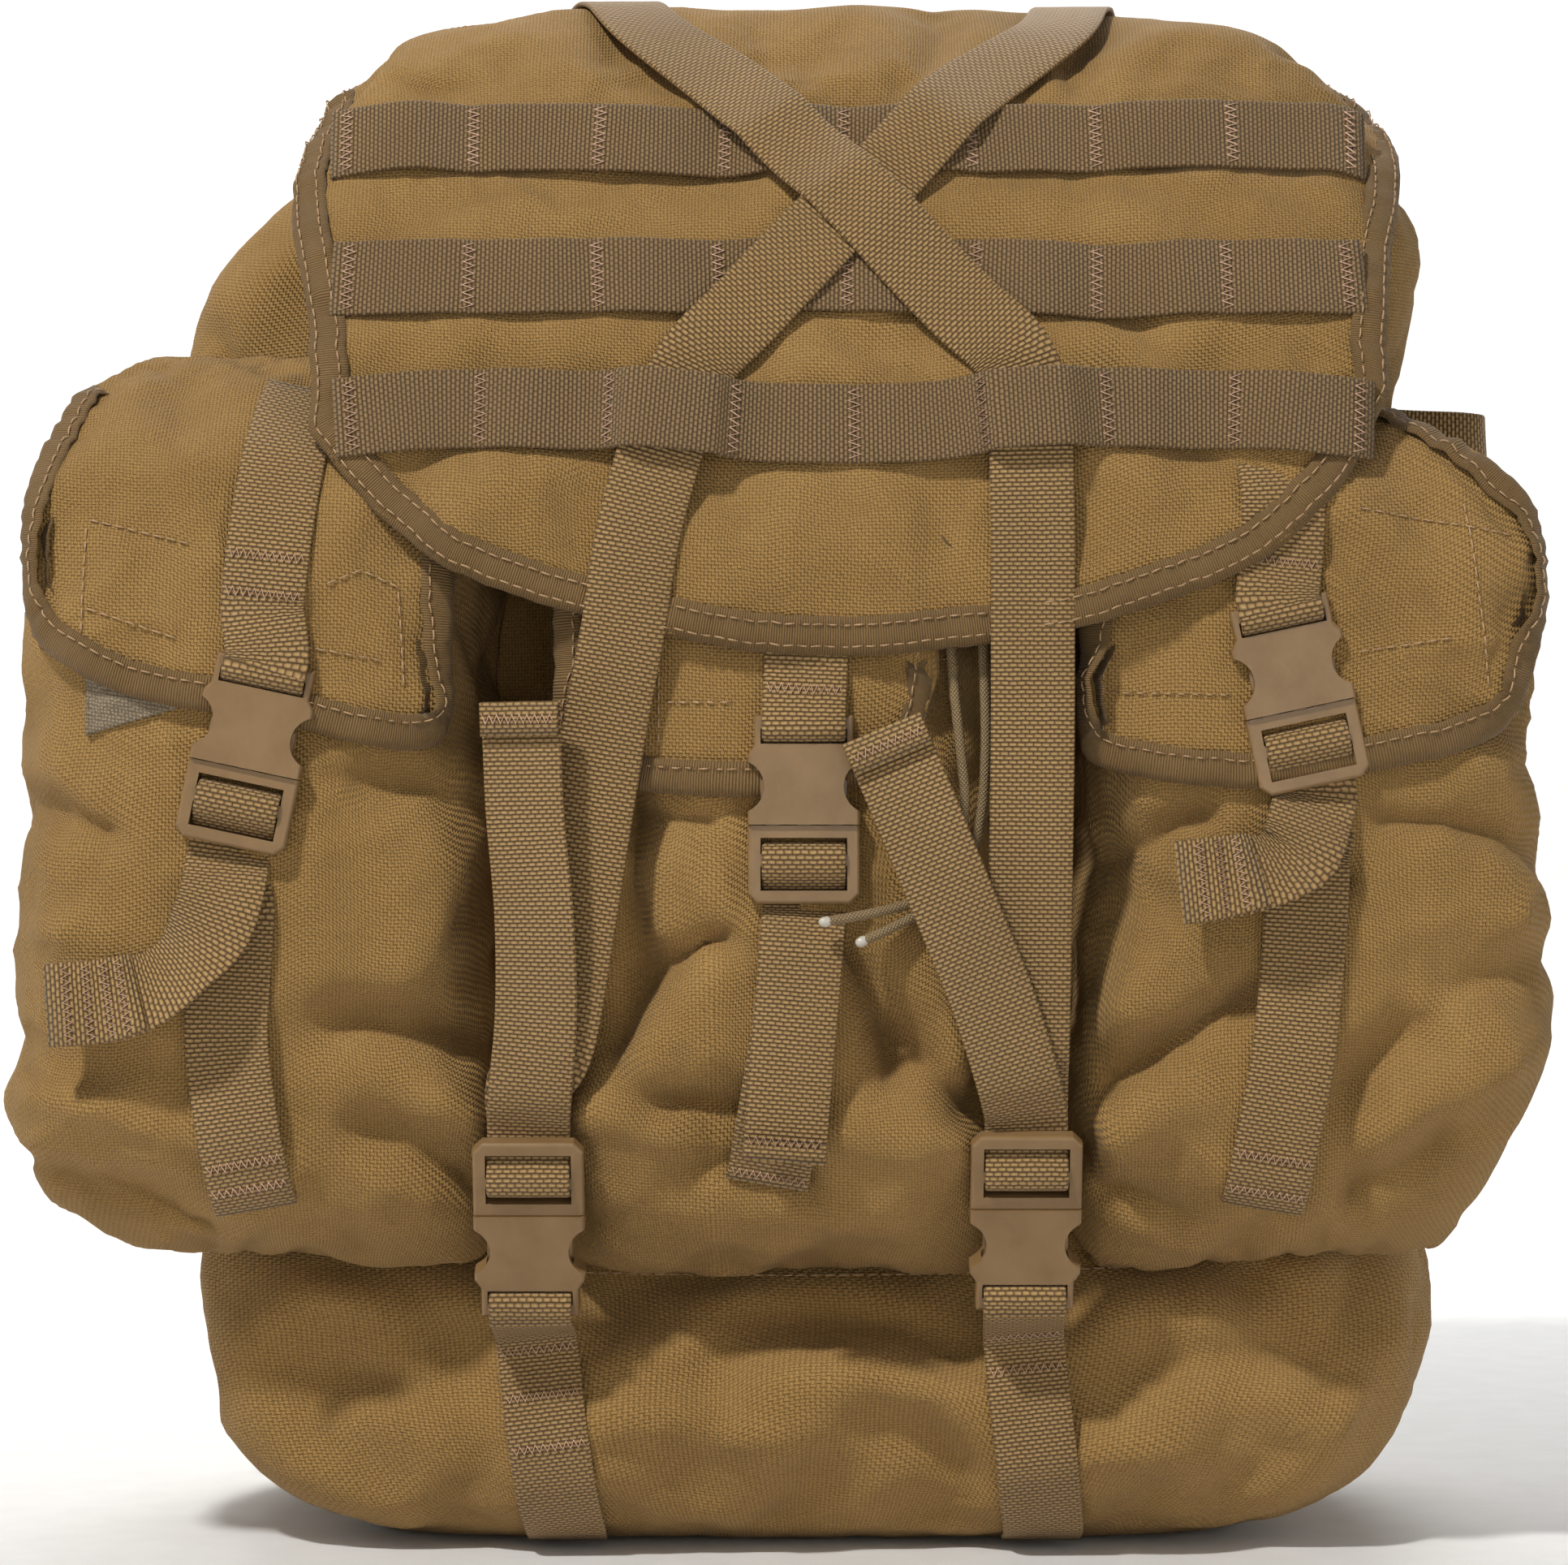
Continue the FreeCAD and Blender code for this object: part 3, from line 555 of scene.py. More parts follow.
def drape(tree, path, looks=(0, -1, 0), lift=0.0009, step=0.004, width=WEB, taut=8, hang=False):
    """A ribbon's centres and directions, laid on whatever is under it and pulled taut over it."""
    centre, look = resample(path, looks, step)
    side, look = aim(centre, look)
    height = np.full(len(centre), -1.0)
    for i, (c, s, l) in enumerate(zip(centre, side, look)):
        for f in (-0.46, -0.23, 0.0, 0.23, 0.46):
            hit = tree.ray_cast(Vector(c + s * f * width + l * 0.06), Vector(-l), 0.14)[0]
            if hit is not None:
                height[i] = max(height[i], float(np.dot(np.array(hit) - c, l)))
    known = height > -0.9
    if known.any():
        height = np.interp(np.arange(len(height)), np.flatnonzero(known), height[known])
    else:
        height[:] = 0.0
    height += lift
    if hang:
        height = np.maximum(height, 0.0)
    for _ in range(taut):
        height[1:-1] = np.maximum(height[1:-1], (height[:-2] + height[2:]) / 2)
    for _ in range(2):
        height[1:-1] = np.maximum(height[1:-1], 0.5 * height[1:-1] + 0.25 * (height[:-2] + height[2:]))
    centre = centre + look * height[:, None]
    return (centre, *aim(centre, look))


def ribbon(name, line, body=None, width=WEB, thick=WEB_THICK, material=WEBBING):
    """Flat webbing with rounded edges round a line of centres with across and outward directions."""
    centre, side, look = line
    half, edge = width / 2, thick / 2
    top = [(-half, 0.0), (-half + 0.25 * edge, 0.7 * edge), (-half + 1.1 * edge, edge),
           (-half / 2, edge), (0, 1.06 * edge), (half / 2, edge), (half - 1.1 * edge, edge),
           (half - 0.25 * edge, 0.7 * edge), (half, 0.0)]
    section = top + [(a, -b) for a, b in top[-2:0:-1]]
    ring = np.array([[c + s * a + l * b for a, b in section] for c, s, l in zip(centre, side, look)])
    rows, columns = ring.shape[:2]
    faces, corners = grid_faces(rows, columns, False, True)
    run = run_along(centre)
    uvs = []
    for k, (i, j) in enumerate(corners):
        back = corners[4 * (k // 4)][1] >= len(top) - 1
        a = section[j % columns][0] + half
        uvs.append((run[i], a + (2 * width if back else 0.0)))
    for row, flip in ((0, 1), (rows - 1, -1)):
        cap = list(range(row * columns, (row + 1) * columns))[::flip]
        faces.append(cap)
        uvs += [(run[row], section[k % columns][0] + half) for k in cap]
    return new_piece(name, ring.reshape(-1, 3), faces, uvs, material, body, True, "webbing")


def tack_across(line, index, lift=0.0011, inset=0.0012, width=0.0034, turns=17, half=WEB / 2):
    """A bar tack right across a ribbon at one of its centres."""
    c, s, l = (part[index] for part in line)
    return zigzag(c - s * (half - inset), c + s * (half - inset), l * lift, width, turns)


def web(name, node, path, looks, step, body="bag", **shape):
    """Webbing along a path in millimetres, shown in place of a CAD node."""
    piece = ribbon(name, laid(mm(*path), looks, step), body, **shape)
    if node:
        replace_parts(piece, node)
    return piece


def tack_rows(name, line, heights, body, width=2.8 * MM, turns=21, skip=0):
    """Bar tacks across a strap at the given heights, leaving out its first points."""
    z = line[0][skip:, 2] / MM
    routes = [tack_across(line, skip + nearest(z, height), ON_WEB, 1.2 * MM, width, turns)
              for height in heights]
    thread_piece(name, routes, THREAD_RADIUS, body)


def folds(points, ridges, normal=(0, -1, 0)):
    """Push cloth in or out along lines given in the front view: (x0, z0, x1, z1, wide, high) in mm."""
    out = points.copy()
    x, z = points[..., 0] / MM, points[..., 2] / MM
    push = np.array(normal, dtype=float)
    for x0, z0, x1, z1, wide, high in ridges:
        dx, dz = x1 - x0, z1 - z0
        run = sqrt(dx * dx + dz * dz)
        t = ((x - x0) * dx + (z - z0) * dz) / run
        off = ((x - x0) * dz - (z - z0) * dx) / run
        off = off + 0.12 * run * np.sin(t / run * 2.4)
        ends = np.clip((t + wide) / (2 * wide), 0, 1) * np.clip((run + wide - t) / (2 * wide), 0, 1)
        shape = 1.2 * np.exp(-1.2 * (np.sqrt((off / wide) ** 2 + 0.03) - 0.17)) * eased(ends) * high * MM
        out = out + push * shape[..., None]
    return out


def normals_of(points, outward):
    """Unit normals of a grid of points, on the side that 'outward' points to."""
    along, across = np.gradient(points, axis=0), np.gradient(points, axis=1)
    normal = unit(np.cross(along, across))
    flip = (normal * np.array(outward, dtype=float)).sum(axis=2, keepdims=True)
    return normal if flip.mean() >= 0 else -normal


def bind_edge(name, edge, inward, normal, body, width, seed, double=False):
    """Grosgrain tape folded over a cloth edge, a little puckered, with a row of stitches."""
    line, _ = resample(edge, normal, 0.0025)
    count = len(line)
    run = run_along(edge)
    at = np.linspace(0, run[-1], count)
    pull, out = unit(mixed(at, run, inward)), unit(mixed(at, run, normal))
    out = unit(out - pull * (out * pull).sum(1, keepdims=True))
    pucker = np.array([noise.noise(Vector((s * 150.0, seed, 0))) for s in at])[:, None]
    fine = np.array([noise.noise(Vector((s * 420.0, seed + 5, 0))) for s in at])[:, None]
    ripple = 0.0009 * pucker + 0.0002 * fine
    reach = width * (1 + 0.05 * pucker)
    lift = 0.0025
    rows = [line + pull * reach + out * (lift * 0.55), line + pull * reach + out * (lift + ripple * 0.5),
            line + pull * reach * 0.8 + out * (lift + 0.0002 + ripple),
            line + pull * reach * 0.5 + out * (lift + 0.0005 + ripple * 1.6),
            line + pull * reach * 0.2 + out * (lift + 0.0003 + ripple),
            line + pull * 0.0004 + out * lift * 0.8, line - pull * 0.0008 + out * lift * 0.3,
            line - pull * 0.0008 - out * lift * 0.4, line + pull * 0.0006 - out * (lift * 0.9),
            line + pull * reach * 0.5 - out * (lift + ripple), line + pull * reach - out * lift]
    grid = np.stack(rows, axis=1)
    faces, corners = grid_faces(count, grid.shape[1])
    across = run_along(grid[count // 2])
    uvs = [(at[i], across[j]) for i, j in corners]
    tape = new_piece(name, grid.reshape(-1, 3), faces, uvs, TAPE, body, True, "binding_tape")
    routes = stitch_routes(rows[2] - pull * 0.0004, out * 0.0007)
    if double:
        routes += stitch_routes(rows[4] - pull * 0.0004, out * 0.0007)
    return tape, thread_piece(name + "_stitches", routes, FINE_THREAD, body, DARK_THREAD)


def border(grid, normal, first):
    """Down the left edge, along the hem and up the right edge: line, way inward, way out."""
    line, look = (np.concatenate([part[first:, 0], part[-1, 1:], part[first:, -1][::-1][1:]])
                  for part in (grid, normal))
    pull = unit(np.cross(look, np.gradient(line, axis=0)))
    if (pull * (line.mean(axis=0) - line)).sum() < 0:
        pull = -pull
    for way in (pull, look):
        for _ in range(4):
            way[1:-1] = unit(way[:-2] + way[1:-1] + way[2:])
    return line, pull, look


def creased(obj, seed):
    """Sharp small wrinkles in patches, on a finer mesh than the cloth settled on."""
    subdivide(obj)
    places = vertices(obj)
    normals = read_vectors(obj.data.vertex_normals, "vector")
    for k, place in enumerate(places):
        warp = noise.noise(Vector(place * 14.0 + seed)) * 0.02
        sharp = 1 - 2 * abs(noise.noise(Vector((place + warp) * (34, 34, 52) + seed)))
        fine = 1 - 2 * abs(noise.noise(Vector((place + warp) * (70, 70, 46) - seed)))
        patch = min(1.0, max(0.0, 0.55 + 1.5 * noise.noise(Vector(place * 11.0 - seed))))
        places[k] = place + normals[k] * WRINKLE * patch * (
            1.5 * max(0.0, sharp) ** 2 + 0.8 * max(0.0, fine) ** 3 - 0.5)
    move_vertices(obj, places)


def panel(path, left, right, hem, rows, columns, spread=0.55):
    """A sheet hung from a seam: rows follow a side-view path (y, z), each column ends on the hem.

    left and right give (z, x) of the two side edges; hem is a front-view line (x, z)."""
    fine = smooth_path(mm(*path), 400)
    run = run_along(fine)
    low = int(np.argmax(fine[:, 1]))
    hem_line = smooth_path(mm(*hem), columns)
    left, right = np.array(left) * MM, np.array(right) * MM
    grid = np.zeros((rows, columns, 3))
    for j in range(columns):
        hem_x, hem_z = hem_line[j]
        end = np.interp(-hem_z, -fine[low:, 1], run[low:])
        share = j / (columns - 1)
        for i, s in enumerate(np.linspace(0, 1, rows)):
            y = np.interp(s * end, run, fine[:, 0])
            z = np.interp(s * end, run, fine[:, 1])
            fall = -z if s * end >= run[low] else -fine[low, 1]
            edge_l = np.interp(fall, left[:, 0], left[:, 1])
            edge_r = np.interp(fall, right[:, 0], right[:, 1])
            w = eased(min(1.0, max(0.0, (s - spread) / (1 - spread))))
            grid[i, j] = ((1 - w) * (edge_l + (edge_r - edge_l) * share) + w * hem_x, y, z)
    return grid


def panel_piece(name, grid):
    """The sheet as a mesh whose weave runs straight down it."""
    rows, columns = grid.shape[:2]
    faces, corners = grid_faces(rows, columns)
    along = lengths(grid, 0)
    middle = columns // 2
    uvs = [(grid[i, j, 0], along[i, middle] + (along[i, j] - along[i, middle]) * 0.5)
           for i, j in corners]
    return new_piece(name, grid.reshape(-1, 3), faces, uvs, CLOTH, None, True, "pack_cloth")


def settle(obj, shape, **options):
    """Run the cloth and hand back the settled grid."""
    crumple(obj, **options)
    return vertices(obj).reshape(*shape, 3)


def edge_weights(rows, columns, top=1.0, bottom=0.0, sides=0.0, deep=1):
    weight = np.zeros((rows, columns))
    weight[:, :deep] = weight[:, -deep:] = sides
    weight[-deep:] = np.maximum(weight[-deep:], bottom)
    weight[0] = top
    return weight


def depth_under(grid, cover, fallback):
    """Depth of what lies behind each point of a grid, found on every third point and spread smoothly."""
    rows, columns = grid.shape[:2]
    coarse = np.array([[front_of(cover, p[0], p[2], fallback) for p in row[::3]] for row in grid[::3]])
    at = np.arange(columns) / 3
    across = np.array([np.interp(at, np.arange(coarse.shape[1]), row) for row in coarse])
    return np.array([np.interp(np.arange(rows) / 3, np.arange(coarse.shape[0]), column)
                     for column in across.T]).T


def rest_on(grid, under, first, gap, passes=4):
    """Keep a hanging sheet in front of what is under it, with soft steps between."""
    part = grid[first:, :, 1]
    np.minimum(part, under[first:] - gap, out=part)
    for _ in range(passes):
        soft = part.copy()
        soft[1:-1] = (part[:-2] + 2 * part[1:-1] + part[2:]) / 4
        soft[:, 1:-1] = (soft[:, :-2] + 2 * soft[:, 1:-1] + soft[:, 2:]) / 4
        np.minimum(soft, under[first:] - gap * 0.6, out=part)


# ------------------------------------------------------------------ where the buckles are

BUCKLES = {"main_left": (-78, -131, 112, 0, 18), "main_right": (74, -131, 114, 0, 18),
           "pocket_left": (-163, -146.4, 248, 192, 0), "pocket_centre": (6, -146.4, 231, 180, 0),
           "pocket_right": (156, -146.4, 266, 168, 0)}


def buckle_point(name, x, y, z):
    """A place given in a buckle's own millimetres, in the CAD frame's metres."""
    px, py, pz, about_y, lean = BUCKLES[name]
    a, b = radians(lean), radians(about_y)
    y, z = y * cos(a) - z * sin(a), y * sin(a) + z * cos(a)
    x, z = x * cos(b) + z * sin(b), -x * sin(b) + z * cos(b)
    return ((px + x) * MM, (py + y) * MM, (pz + z) * MM)


def buckle_looks(name, *looks):
    origin = np.array(buckle_point(name, 0, 0, 0))
    return [tuple((np.array(buckle_point(name, 0, y, z)) - origin) / MM) for y, z in looks]


# Round a plug's middle bar: up behind it, over its front and out behind the end bar again.
WRAP = ([(0, 5.0, 13), (0, 4.2, 8), (0, 0.3, 5.9), (0, -3.9, 8), (0, -4.4, 11), (0, -3.0, 15),
         (0, 0.8, 18.6), (0, 3.75, 22), (0, 3.7, 27)],
        [(1, 0), (1, -0.3), (0, -1), (-1, -0.3), (-1, 0.1), (-0.8, 0.6), (-0.75, 0.65), (-1, 0.1), (-1, 0)])


# ------------------------------------------------------------------ bag and base

def squared(turn, power):
    """A point of a rounded square with half-width 1, at an angle."""
    c, s = cos(turn), sin(turn)
    size = (abs(c) ** power + abs(s) ** power) ** (-1 / power)
    return c * size, s * size


def ring(left, right, front, back, z, count=132, power=4.2):
    """A level loop round the bag: a rounded rectangle, starting at the middle of the back."""
    points = []
    for k in range(count):
        turn = 2 * pi * k / count + pi / 2
        c, s = squared(turn, power)
        x = (left + right) / 2 + (right - left) / 2 * c
        y = (front + back) / 2 + (back - front) / 2 * s
        points.append((x * MM, y * MM, z * MM))
    return points


def radial_of(grid):
    """Level directions from the middle of each loop out to its points."""
    return unit((grid - grid.mean(axis=1, keepdims=True)) * np.array((1, 1, 0)))


def stacked(levels, count, rows, power=4.2):
    """Loops between given levels (z, left, right, front, back), smoothly spaced."""
    fine = smooth_path(levels, rows)
    return np.array([ring(l, r, f, b, z, count, power) for z, l, r, f, b in fine])


def make_bag():
    grid = stacked([(95, -189, 189, -76, 95), (130, -190, 191, -75, 95), (200, -190, 191, -75, 96),
                    (300, -190, 191, -75, 96), (360, -190, 193, -74, 96), (392, -188, 199, -73, 95),
                    (416, -176, 204, -71, 93), (434, -160, 197, -66, 88), (446, -148, 178, -58, 86),
                    (456, -142, 164, -52, 86), (466, -138, 156, -47, 86)], 132, 46)
    grid = folds(grid, [(-196, 396, -170, 360, 7, -3)], (0, -1, 0))
    # The back of the mouth rises to the seam of the lid.
    rear = np.clip((grid[..., 1] / MM - 40) / 40, 0, 1) * np.clip((grid[..., 2] / MM - 440) / 26, 0, 1)
    grid[..., 2] += 5 * MM * rear
    rows, columns = grid.shape[:2]
    # The mouth is gathered into pleats above the pockets.
    turn = np.linspace(0, 2 * pi, columns, endpoint=False)
    drift = np.array([noise.noise(Vector((t * 2, 0, 0))) for t in turn])
    pleat = np.clip((grid[:, :1, 2] / MM - 405) / 50, 0, 1) * (2.6 * np.sin(turn * 34 + 3 * drift) - 1.0)
    sag = 1.6 * noise_over(grid, 17.0, 2.0, (1, 1, 1.6)) + 1.1 * ridges_over(grid, 26.0, 8.0)
    out = grid + radial_of(grid) * MM * (pleat + sag)[..., None]
    obj = grid_piece("bag_cloth", out, CLOTH, None, "pack_cloth", loop_columns=True)
    weight = np.zeros((rows, columns))
    weight[:2] = 1
    weight[-3:] = 0.9
    weight[grid[..., 1] > 0.09] = 0.8
    crumple(obj, weight.ravel(), pressure=4, grow=0.06, frames=14, cap=0.008)
    creased(obj, 1.7)
    thicken(obj, CLOTH_THICK)
    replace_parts(obj, "main_bag", "collar")
    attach(obj, "bag")
    return obj


def make_base():
    levels = [(101, -193, 196, -76, 94), (96, -194, 200, -79, 94.5), (88, -193, 204, -84, 95),
              (78, -191, 205, -90, 95), (66, -189, 202, -98, 95), (46, -186, 195, -103, 95),
              (28, -178, 186, -99, 93), (15, -164, 172, -91, 88), (6, -146, 154, -77, 78),
              (1.5, -135, 138, -58, 62), (0.6, -80, 80, -30, 34), (0.6, -12, 12, -5, 9)]
    grid = stacked(levels, 132, 46, 4.6)
    rows, columns = grid.shape[:2]
    grid[..., 0] += 4 * MM
    hang = np.clip((grid[..., 2] / MM - 40) / 50, 0, 1)
    grid[..., 2] -= MM * hang * (10 * (1 - np.clip((grid[..., 0] / 0.215) ** 2, 0, 1)) - 4)
    lowered = np.clip((grid[..., 2] / MM - 14) / 30, 0, 1)
    bumps = (2.8 * noise_over(grid, 16.0, 5.0, (0.7, 1, 1.5))
             + 2.4 * ridges_over(grid, 24.0, 9.0, (0.6, 1, 1.4)))
    grid = grid + radial_of(grid) * MM * (bumps * lowered)[..., None]
    # Creases seen from the front: the shadowed sag under the seam, then the slanting folds.
    creases = [
        (-150, 84, -60, 78, 6, -5), (-60, 77, 60, 76, 8, -7), (60, 77, 150, 82, 6, -5),
        (-160, 78, -60, 64, 7, 5), (-60, 58, -20, 66, 7, 4), (-25, 68, 60, 54, 8, -6),
        (-10, 56, 62, 42, 7, 5),
        (100, 78, 150, 62, 6, 6), (140, 70, 172, 45, 6, -7), (150, 55, 176, 35, 7, 6),
        (110, 62, 150, 50, 6, -5), (-160, 58, -110, 42, 8, -5), (-178, 64, -150, 80, 6, 5),
        (-140, 48, -108, 30, 8, 4), (-60, 45, 0, 30, 8, 4), (90, 35, 130, 25, 8, 4),
        (116, 88, 176, 82, 4, 4),
        (20, 40, 58, 24, 8, -4), (-110, 70, -96, 40, 7, -4)]
    grid = folds(grid, [(*fold[:5], fold[5] * 1.2) for fold in creases])
    obj = grid_piece("base_cloth", grid, CLOTH, None, "pack_cloth", loop_columns=True, turn=True)
    weight = np.zeros((rows, columns))
    weight[:3] = 1
    weight[grid[..., 2] < 0.008] = 1
    weight[grid[..., 1] > 0.09] = 0.8
    crumple(obj, weight.ravel(), pressure=4, grow=0.06, frames=16, cap=0.008)
    creases += [(-178, 88, -128, 70, 5, 4), (-128, 70, -96, 66, 5, -4), (-92, 86, -40, 80, 5, 4),
                (-165, 52, -120, 62, 5, 3), (-168, 40, -110, 36, 5, -3), (-60, 70, -30, 64, 5, -4),
                (80, 80, 130, 60, 5, -4), (92, 84, 146, 68, 5, 4), (30, 70, 58, 50, 6, 4)]
    places = vertices(obj).reshape(rows, columns, 3)
    move_vertices(obj, folds(places, [(*fold[:4], fold[4] * 0.5, fold[5] * 0.6) for fold in creases])
                  .reshape(-1, 3))
    creased(obj, 3.1)
    thicken(obj, CLOTH_THICK)
    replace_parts(obj, "base_section")
    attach(obj, "bag")
    seam = np.array(ring(-185, 196, -80.5, 95.4, 93, 264, 4.6))
    seam = np.concatenate([seam, seam[:1]])
    seam[:, 2] -= MM * (10 * (1 - np.clip((seam[:, 0] / 0.215) ** 2, 0, 1)) - 4)
    out = unit((seam - seam.mean(axis=0)) * np.array((1, 1, 0)))
    thread_piece("base_seam_stitches", stitch_routes(seam, out * 0.6 * MM, 4.5 * MM, 3 * MM),
                 THREAD_RADIUS, "bag", DARK_THREAD)
    return obj


bag_cloth = make_bag()
base_cloth = make_base()


# ------------------------------------------------------------------ pockets

POCKETS = {
    "left": dict(cx=-164, outer=[(92, 34), (103, 48), (118, 66), (145, 71), (200, 70), (250, 68),
                                 (300, 65), (330, 62), (372, 52)],
                 inner=[(97, 66), (110, 72), (140, 77), (200, 76), (300, 72), (372, 70)], out=-1),
    "centre": dict(cx=0, outer=[(97, 66), (120, 70), (200, 69), (300, 67), (372, 66)],
                   inner=[(97, 66), (120, 70), (200, 69), (300, 67), (372, 66)], out=1),
    "right": dict(cx=164, outer=[(92, 40), (110, 46), (130, 56), (155, 66), (181, 72), (215, 71),
                                 (260, 66), (316, 63), (372, 56)],
                  inner=[(97, 66), (110, 72), (140, 76), (200, 75), (300, 72), (372, 70)], out=1),
}
POCKET_SIDE = [(-77, 96), (-88, 95), (-98, 97), (-109, 104), (-121, 119), (-129, 142),
               (-133.5, 178), (-135, 220), (-134.5, 270), (-133, 325)]
POCKET_FOLDS = {
    "left": [(-238, 150, -150, 118, 8, 3.5), (-225, 128, -175, 104, 7, -3.5), (-140, 172, -92, 160, 9, -5),
             (-110, 150, -92, 128, 7, 4), (-132, 142, -100, 118, 7, -4), (-236, 235, -200, 222, 8, -3),
             (-234, 200, -206, 192, 8, 2.5), (-140, 245, -104, 236, 10, -3), (-190, 170, -150, 182, 10, 2),
             (-128, 225, -118, 180, 12, 3)],
    "centre": [(-45, 180, -12, 196, 8, -5), (-44, 160, -10, 172, 7, 4), (-40, 148, 0, 140, 7, -5),
               (-62, 145, -30, 130, 6, 4), (16, 196, 30, 150, 7, -6), (40, 200, 48, 150, 8, 5),
               (30, 170, 56, 140, 7, -5), (-64, 300, -60, 160, 8, -5), (62, 300, 60, 150, 8, -5),
               (-50, 236, -20, 228, 6, -3), (14, 140, 56, 128, 6, 4), (-38, 130, 10, 118, 6, -3),
               (20, 240, 34, 205, 6, 4)],
    "right": [(95, 168, 165, 196, 9, 4), (100, 150, 150, 178, 8, -5), (98, 132, 130, 150, 7, 4),
              (168, 150, 232, 186, 10, -4), (178, 132, 225, 160, 8, 4), (170, 118, 205, 138, 7, -4),
              (180, 215, 228, 196, 9, 3), (176, 232, 232, 214, 8, -4), (96, 215, 132, 232, 9, -4),
              (100, 122, 128, 112, 6, -4), (190, 178, 236, 158, 7, 3), (150, 196, 180, 215, 8, -3)],
}


def make_pocket(side):
    spec = POCKETS[side]
    columns, rows = 64, 58
    path = smooth_path(mm(*POCKET_SIDE), rows)
    inner, outer = np.array(spec["inner"], float) * MM, np.array(spec["outer"], float) * MM
    grid = np.zeros((rows, columns, 3))
    for i, (depth, z) in enumerate(path):
        wide_out = np.interp(z, outer[:, 0], outer[:, 1])
        wide_in = np.interp(z, inner[:, 0], inner[:, 1])
        left, right = (wide_out, wide_in) if spec["out"] < 0 else (wide_in, wide_out)
        if side == "centre":
            left = right = wide_out
        for j, t in enumerate(np.linspace(0, pi, columns)):
            c, s = squared(pi - t, 4.6)
            x = spec["cx"] * MM + (left if c < 0 else right) * c
            back = -0.0745
            y = back + (depth - back) * s
            rise = 0.0
            if z > 0.29:
                tall = 0.014 if side == "right" and c > 0 else 0.040
                rise = (z - 0.29) / 0.035 * tall * (1 - min(1, s))
            sag = 10 * (1 - min(1, (x / 0.215) ** 2)) - 5
            low = max(0.0, min(1.0, (150 - z / MM) / 50))
            grid[i, j] = (x, y, z + rise - sag * low * MM)
    if side != "centre":
        # The pocket stands wider than the bag, so its back wall runs in from its outer edge.
        edge = grid[:, :1] if spec["out"] < 0 else grid[:, -1:]
        inward = np.linspace(0, 1, 11)[1:][None, :, None]
        foot = edge.copy()
        foot[..., 0], foot[..., 1] = spec["out"] * 0.184, -0.0735
        wall = edge * (1 - inward) + inward * foot
        grid = np.concatenate([wall[:, ::-1], grid] if spec["out"] < 0 else [grid, wall], axis=1)
        columns = grid.shape[1]
    grid = folds(grid, [(*fold[:5], fold[5] * 1.7) for fold in POCKET_FOLDS[side]])
    normal = normals_of(grid, (0, -1, 0))
    level = np.clip((grid[..., 2] / MM - 100) / 25, 0, 1) * np.clip((330 - grid[..., 2] / MM) / 30, 0, 1)
    seed = {"left": 11.0, "centre": 23.0, "right": 37.0}[side]
    bulge = (3.2 * noise_over(grid, 19.0, seed, (1, 0.6, 0.8))
             + 3.0 * ridges_over(grid, 31.0, seed + 3, (1, 0.6, 1.1)) - 1.0)
    grid = grid + normal * MM * (bulge * level)[..., None]
    obj = grid_piece("pocket_cloth_" + side, grid, CLOTH, None, "pack_cloth", turn=True)
    weight = edge_weights(rows, columns, 1.0, 0.7, 1.0)
    weight[1] = 1
    crumple(obj, weight.ravel(), pressure=3, grow=0.075, frames=16, cap=0.008)
    places = vertices(obj)
    creases = [(*fold[:4], fold[4] * 0.55, fold[5] * 0.8) for fold in POCKET_FOLDS[side]]
    places = folds(places.reshape(rows, columns, 3), creases).reshape(-1, 3)
    places[:, 1] = np.maximum(places[:, 1], -0.1415)
    move_vertices(obj, places)
    creased(obj, seed)
    thicken(obj, 0.0014, 1.0)
    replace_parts(obj, "pocket_" + side)
    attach(obj, "bag")
    return obj


pocket_cloths = {side: make_pocket(side) for side in POCKETS}
pockets_tree = tree_of(bag_cloth, base_cloth, *pocket_cloths.values())


# ------------------------------------------------------------------ flaps

FLAP_PATH = [(-78, 378), (-92, 374), (-112, 362), (-128, 345), (-138, 325), (-140.5, 300), (-140.5, 240),
             (-140.5, 215)]
FLAPS = {
    "left": dict(left=[(-390, -188), (-378, -200), (-363, -221), (-326, -234), (-300, -236)],
                 right=[(-390, -92), (-378, -92), (-340, -96), (-300, -101)],
                 hem=[(-231, 300), (-227, 288), (-216, 279), (-200, 271.5), (-181, 267), (-156, 263.5),
                      (-133, 257.5), (-114, 254.5), (-105, 258), (-102, 268)], curl=(7, 5)),
    "centre": dict(left=[(-378, -68), (-300, -70)], right=[(-378, 58), (-300, 60)],
                   hem=[(-69, 262), (-66, 250), (-52, 244), (-30, 241), (-8, 240.5), (16, 243),
                        (32, 248), (42, 262), (46, 280)], curl=(4, 8)),
    "right": dict(left=[(-378, 92), (-340, 92), (-300, 91)],
                  right=[(-390, 148), (-374, 166), (-356, 190), (-342, 208), (-328, 224), (-312, 231),
                         (-300, 232)],
                  hem=[(91, 262), (93, 252), (106, 247), (130, 243.5), (152, 243.5), (184, 249), (208, 255),
                       (221, 264), (228, 282), (231, 298)], curl=(4, 6)),
}
